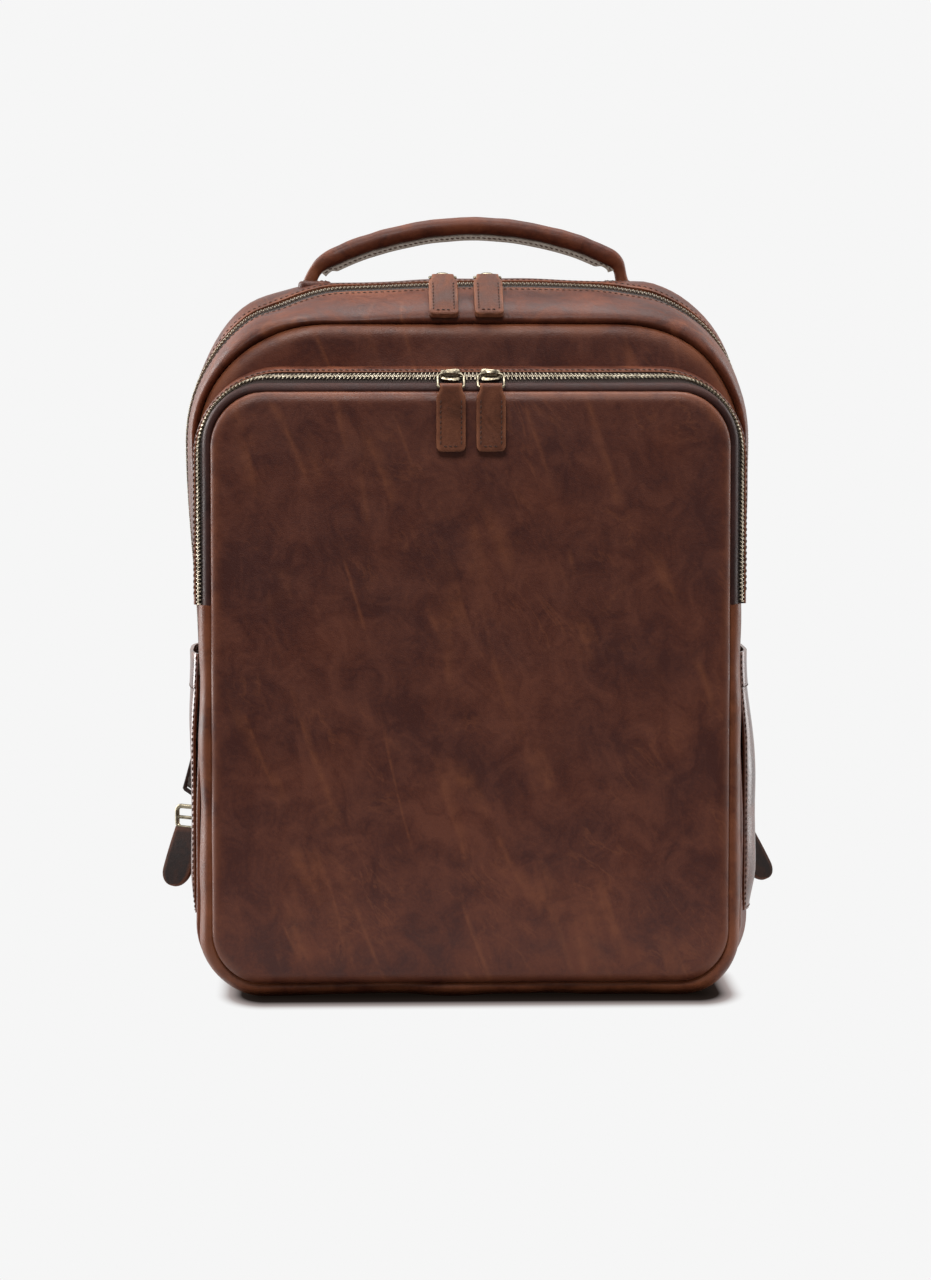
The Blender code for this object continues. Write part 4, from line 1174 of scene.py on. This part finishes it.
def back():
    """The back panel with its pads, the yoke, and the tabs that the lower straps are sewn to."""
    panel = Panel(-BACK_FACE, 0.1572, 0.0042, 0.4052, (0.038, 0.038), (0.072, 0.096), 0.006, 0.0030)
    grid, edge = panel.grid(0.0042, 0.4052, 21, 0.0008)
    grid = settle((grid * (1, -1, 1))[:, ::-1])
    leather_back = patch("back_leather", grid, BODY, LINING, 0.0024, edge[:, ::-1] * 0.6)
    put(leather_back, "bag", ("back_panel",))
    for name, side in SIDES:
        back_pad(f"back_pad_{name}", 0.120, 0.334, 0.049, side * 0.0625, (0.168, 0.227, 0.286))
    back_pad("lumbar_pad", 0.035, 0.107, 0.1105, 0.0, (0.071,))

    half = [(0.084, 0.3625), (0.0875, 0.366), (0.0875, 0.379), (0.074, 0.3965)]
    outline = [(-0.084, 0.3625), *half] + [(-u, v) for u, v in half[:0:-1]]
    sewn_plate("yoke_leather", "strap_yoke", outline, 0.0040, -1, np.array((0, 0.3795)), (0.962, 0.80), 0.0016, 4)
    outline = [(-0.118, 0.012), (-0.1475, 0.020), (-0.1515, 0.0515), (-0.1365, 0.0515)]
    centre = np.mean(outline, axis=0)
    for name, side in SIDES:
        names = f"strap_base_leather_{name}", f"strap_base_tab_{name}"
        sewn_plate(*names, outline, 0.0044, -side, centre, 0.80, 0.0012, 3)


def flat_seam(loop, axes, height):
    """Stitches round a closed outline on a flat piece."""
    origin, across, along, out = (np.asarray(a, float) for a in axes)
    points = []
    for a, b in zip(loop, loop[1:] + loop[:1]):
        count = max(3, int(math.dist(a, b) / 0.002))
        for k in range(count):
            u, v = (a[i] + (b[i] - a[i]) * k / count for i in (0, 1))
            points.append(origin + across * u + along * v + out * height)
    points.append(points[0])
    return seam("seam", np.array(points), np.broadcast_to(out, (len(points), 3)))


# Shoulder straps
STRAP_SPINE = (
    (0.0500, 0.0588, 0.3720), (0.0500, 0.0612, 0.3600), (0.0520, 0.0730, 0.3440), (0.0620, 0.0850, 0.3060),
    (0.0800, 0.0905, 0.2600), (0.1080, 0.0900, 0.2050), (0.1380, 0.0830, 0.1480), (0.1600, 0.0720, 0.1000),
)  # fmt: skip
STRAP_HALF = (0.0225, 0.0232, 0.0250, 0.0290, 0.0300, 0.0270, 0.0190, 0.0120)


def shoulder_strap(name, side):
    """A padded strap: leather outside, mesh inside, piping round it and two lines of stitches."""
    count = 64
    path = spline(STRAP_SPINE, count)
    half = spline([(h,) for h in STRAP_HALF], count)[:, 0]
    share = 15 * (np.linspace(0, len(STRAP_SPINE) - 1, count) - 1) / 6
    turn = BUCKLE_YAW * np.maximum(0, (share - 8) / 7) ** 1.5
    ahead = np.gradient(path, axis=0)
    tilt = np.arctan2(ahead[:, 0], -ahead[:, 2])
    across = np.stack([np.cos(tilt) * np.cos(turn), np.cos(tilt) * np.sin(turn), np.sin(tilt)], 1)
    out = unit(np.cross(across, unit(ahead)))
    out *= np.where(out[:, 1:2] < 0, -1, 1)
    facing = out * (side, 1, 1)
    s = bunched(17, 0.93)
    ends = np.minimum(np.minimum(np.arange(count), np.arange(count)[::-1]) / 4, 1)[:, None]
    swell = np.sqrt(np.maximum(1 - np.abs(s) ** 2.6, 0)) * (0.35 + 0.65 * np.sqrt(ends))
    swell[[0, -1]] = 0
    thin = (1 - 0.45 * smoothstep(12.5, 15, share)) * (0.22 + 0.78 * smoothstep(-0.6, 1.6, share))
    thin = thin[:, None]
    middle = path[:, None] + across[:, None] * (half[:, None] * s)[..., None]
    grids = [middle + out[:, None] * (rise * swell * thin)[..., None] for rise in (0.0043, -0.0040)]
    outer, inner = ((grid * (side, 1, 1))[:, ::side] for grid in grids)
    wear_and_painted_light = 0.5 * smoothstep(0.86, 1.0, np.abs(s)) + np.zeros((count, 1))
    obj = pillow(f"shoulder_leather_{name}", outer, inner, (BODY, MESH), wear_and_painted_light)
    if (normals(outer)[5:-5, 3:-3] * facing[5:-5, None]).sum() < 0:
        obj.data.flip_normals()
    border = border_of(outer.shape)
    caps = np.broadcast_to(0.0024 * thin**1.5 * ends, border.shape)
    caps = np.concatenate([caps.ravel(), caps[~border]])[:, None]
    inflate(obj, np.flatnonzero(border), 4.0, caps, 0.02)
    outline = np.concatenate([outer[:, 0], outer[-1, 1:], outer[::-1, -1][1:]])
    parts = [smoothed(obj), sweep("piping", outline, 0.0013, (0.0, 1.0, 0.01), TAIL, 8)]
    for u in (-0.80, 0.80):
        line = path + across * (half * u)[:, None] + out * (0.0043 * np.sqrt(1 - 0.8**2.6) * thin + 0.0004)
        parts.append(seam("seam", (line * (side, 1, 1))[2:-2], facing[2:-2], lift=0.0010))
    pad = merged(f"shoulder_leather_{name}", *parts)
    put(pad, f"shoulder_strap_{name}", (f"shoulder_pad_{name}",))


def strap_hardware(name, side):
    """The buckle under a pad, the strap below it, and its loose tail."""
    flip = np.array((side, 1, 1))
    across = np.array((math.cos(BUCKLE_YAW), math.sin(BUCKLE_YAW), 0)) * flip
    normal = np.array((math.sin(BUCKLE_YAW), -math.cos(BUCKLE_YAW), 0)) * flip
    centre = BUCKLE * flip
    ring = np.array([centre + across * u + Z_UP * v for u, v in round_box(0.0135, 0.0065, 0.003)])
    rest = np.array([centre + across * u - Z_UP * 0.0002 for u in np.linspace(-0.0132, 0.0132, 9)])
    frame = sweep("frame", ring, 0.0014, normal, BRASS, 10, True)
    buckle = merged(f"buckle_frame_{name}", frame, sweep("bar", rest, 0.0011, normal, BRASS, 8))
    put(buckle, f"shoulder_strap_{name}", (f"buckle_{name}",))

    t = np.linspace(0, 1, 26)[:, None]
    path = STRAP_FOOT * flip * (1 - t) + (centre + (0, 0, -0.0075)) * t
    sideways = unit(np.array((1.0, 0, 0)) * flip * (1 - t) + across * t)
    facing = unit(np.cross(sideways, unit(np.gradient(path, axis=0)))) * side
    rows = [strap("web", path, sideways * side, facing, np.full(26, 0.0108), 0.0012, TAIL, 0.0005, 0.0002)]
    for u in (-0.0086, 0.0086):
        for face in (-1, 1):
            line = path + sideways * u + facing * face * 0.0012
            rows.append(seam("seam", line, facing * face, 0.0031, 0.0021, 0.0003))
    lower = merged(f"lower_strap_leather_{name}", *rows)
    put(lower, f"lower_strap_{name}_body", (f"lower_strap_{name}",))

    aside = 0.40 if side > 0 else -0.18  # as they happen to hang
    hang = unit(np.array((aside, 0, -1)) + normal * 0.18)
    top = centre + normal * 0.0042 - Z_UP * 0.0055
    length, tip = 0.0365, np.array((0.0075, 0.0055, 0.0038, 0.0024, 0.0012, 0.0004, 0.0))
    v = np.concatenate([np.linspace(0, 0.027, 16), length - tip])
    half = 0.0105 * np.sqrt(np.maximum(1 - (np.maximum(v - 0.0260, 0) / 0.01055) ** 2, 0.0))
    path = top + hang * v[:, None] + normal * (0.0007 * np.sin(v / length * math.pi))[:, None]
    sideways, facing = (np.broadcast_to(a, path.shape) * side for a in (across, unit(np.cross(across, hang))))
    shape = (path, sideways, facing, np.maximum(half, 0.0004), 0.00135)
    tail = strap(f"strap_tail_leather_{name}", *shape, TAIL, 0.0004, 0.0002)
    put(tail, f"strap_tail_{name}_body", (f"strap_tail_{name}",), crease=40)


# Sides and inside
def side_pocket(name, side):
    """An open leather pocket that stands a little off the side, with a turned and sewn hem."""
    low, high = 0.0445, 0.1965
    v = np.concatenate([(0, 0.006, 0.014, 0.026, 0.045), np.linspace(0.07, 0.86, 22), np.linspace(0.875, 1, 7)])
    v = v[:, None]
    s = bunched(33, 0.9)
    z = low + (high - low) * v + 0 * s
    y = 0.0080 + 0.0365 * s * (1 - 0.10 * (1 - smoothstep(0.0, 0.09, v)))
    bulge = (1 - np.abs(s) ** 3.2) ** 0.6 * (0.32 + 0.68 * smoothstep(-0.02, 0.16, v))
    bulge = bulge * (1 - 0.10 * np.sin(v * math.pi))
    x = WAIST + 0.0014 + (0.0062 if side > 0 else 0.0050) * bulge - 0.0034 * smoothstep(0.62, 1.0, v)
    x = x + 0.0008 * waves(np.stack([x, y, z], -1), 0.03, 41 + side) * bulge
    grid = np.stack([side * x + lean(y, z), y, z], -1)[:, ::side]
    edge = 0.5 * smoothstep(0.95, 1.0, v) + 0.35 * (1 - smoothstep(0.0, 0.05, v))
    edge = np.maximum(edge, 0.4 * smoothstep(0.93, 1.0, np.abs(s)))
    out = normals(grid)
    grid = grid + out * (0.0006 * smoothstep(0.866, 0.872, v))[..., None]
    parts = [patch(name, grid, POCKET, LINING, 0.0019, edge)]
    hem, foot = ([values[1:-1] for values in row_of(grid, share)] for share in (0.80, 0.045))
    sides = [(grid[2:, column], out[2:, column]) for column in (1, -2)]
    for line, facing in (hem, *sides, foot):
        parts.append(seam("seam", line, facing))
    put(merged(name, *parts), "bag", (name.replace("_leather", ""),))


def inside():
    """The padded laptop divider with its bound top, and the stiffened floor of the main compartment."""
    axes = ((0, 0.0370, 0), (-1, 0, 0), Z_UP, Y_UP)
    outline = [(u, 0.167 + v) for u, v in round_box(0.1560, 0.1325, 0.022)]
    panel = plate("divider_panel", outline, -0.0050, -0.0002, axes, LINING, 0.0018)
    top = np.stack([0.132 * np.linspace(-1, 1, 40), np.full(40, 0.0345), np.full(40, 0.2992)], 1)
    binding = sweep("binding", top, (0.0031, 0.0024), Z_UP, STRIP)
    put(merged("divider_panel", panel, binding), "bag", ("laptop_divider",))
    axes = ((0, 0.008, 0), (1, 0, 0), Y_UP, Z_UP)
    board = plate("floor_board", round_box(0.1158, 0.0358, 0.010), 0.0028, 0.0051, axes, LINING)
    put(board, "bag", ("base_board",))


# Studio
def floor():
    """A pale floor that glows evenly, with a soft shadow painted on it round where the bag stands, so that it
    runs into the background.
    """
    mesh = bpy.data.meshes.new("studio_floor")
    shape = bmesh.new()
    bmesh.ops.create_circle(shape, cap_ends=True, segments=96, radius=FLOOR_RADIUS)
    shape.to_mesh(mesh)
    shape.free()
    obj = bpy.data.objects.new("studio_floor", mesh)
    bpy.context.scene.collection.objects.link(obj)
    obj.location = (0, 0, -0.0004)
    n = material_nodes("pale_floor_painted_shadow")
    place = n.vector("ADD", n.add("ShaderNodeNewGeometry", output="Position"), PAINTED_SHADOW_SHIFT)
    outside = n.vector("MAXIMUM", n.vector("SUBTRACT", n.vector("ABSOLUTE", place), PAINTED_SHADOW_HALF))
    away = n.vector("LENGTH", n.vector("MULTIPLY", outside, (1.9, 1.0, 0)), output="Value")
    # Painted shadow: near-black under the bag, fading out by SHADOW_REACH, with a warm fringe that is a painted
    # reflection of the leather.
    dark, dim, soft = (0.006, 0.004, 0.003), (0.02, 0.014, 0.012), (0.38, 0.33, 0.32)
    stops = [(0.0, dark), (0.45, dim), (0.78, soft), (1.0, (BACKGROUND,) * 3)]
    glow = n.add("ShaderNodeEmission", {"Color": n.ramp(n.fit(away, 0.0, SHADOW_REACH), stops), "Strength": 1.0})
    n.plug(n.tree.nodes["Material Output"].inputs[0], glow)
    mesh.materials.append(n.owner)


def studio_world():
    """A white studio: bright all round and above, dimmer on the camera's side."""
    world = bpy.data.worlds.new("studio")
    bpy.context.scene.world = world
    n = Nodes(world)
    split = n.add("ShaderNodeSeparateXYZ", {0: n.add("ShaderNodeTexCoord", output="Generated")}, 1)
    fade = n.fit(split, -1.0, 0.15, WORLD_FRONT, WORLD_BACK)
    seen = n.add("ShaderNodeLightPath", output="Is Camera Ray")
    background = n.tree.nodes["Background"]
    n.plug(background.inputs["Strength"], n.add("ShaderNodeMix", {0: seen, 2: fade, 3: BACKGROUND}))
    n.plug(background.inputs["Color"], (1, 1, 1, 1))


def softbox(name, place, target, size, power):
    """A rectangular light that faces a point."""
    light = bpy.data.lights.new(name, "AREA")
    light.shape = "RECTANGLE"
    light.size, light.size_y = size
    light.energy = power
    obj = bpy.data.objects.new(name, light)
    bpy.context.scene.collection.objects.link(obj)
    obj.location = place
    obj.rotation_euler = (Vector(target) - Vector(place)).to_track_quat("-Z", "Y").to_euler()


def camera():
    """A long lens a little above the middle of the bag, and a little to its left, as in the photograph."""
    azimuth, elevation = math.radians(-1.8), math.radians(5)
    target = Vector((-0.0012, 0, 0.2015))
    back = Vector((
        math.sin(azimuth) * math.cos(elevation), -math.cos(azimuth) * math.cos(elevation), math.sin(elevation)
    ))  # fmt: skip
    data = bpy.data.cameras.new("camera")
    data.lens = 127.5
    data.sensor_width = 36
    obj = bpy.data.objects.new("camera", data)
    bpy.context.scene.collection.objects.link(obj)
    obj.location = target + back * 2.66
    obj.rotation_euler = (-back).to_track_quat("-Z", "Y").to_euler()
    bpy.context.scene.camera = obj


front_panels()
main_panels()
bands()
turnings()
zips()
pulls()
handle()
back()
for side_name, way in SIDES:
    shoulder_strap(side_name, way)
    strap_hardware(side_name, way)
    side_pocket(f"side_pocket_{side_name}_leather", way)
inside()

floor()
studio_world()
softbox("top", (0.0, 0.25, 1.8), (0, 0, 0.3), (1.6, 1.0), 21)
softbox("left", (-1.7, 1.0, 0.7), (0, 0, 0.2), (1.0, 1.8), 46)
softbox("right", (1.8, 1.0, 0.7), (0, 0, 0.2), (1.0, 1.8), 18)
softbox("front", (-0.4, -1.9, 2.2), (0, 0, 0.2), (1.2, 0.8), 42)
softbox("low", (0.3, -2.2, 0.30), (0, 0, 0.15), (1.2, 0.4), 0.8)
camera()
bpy.context.scene.view_settings.view_transform = "Standard"
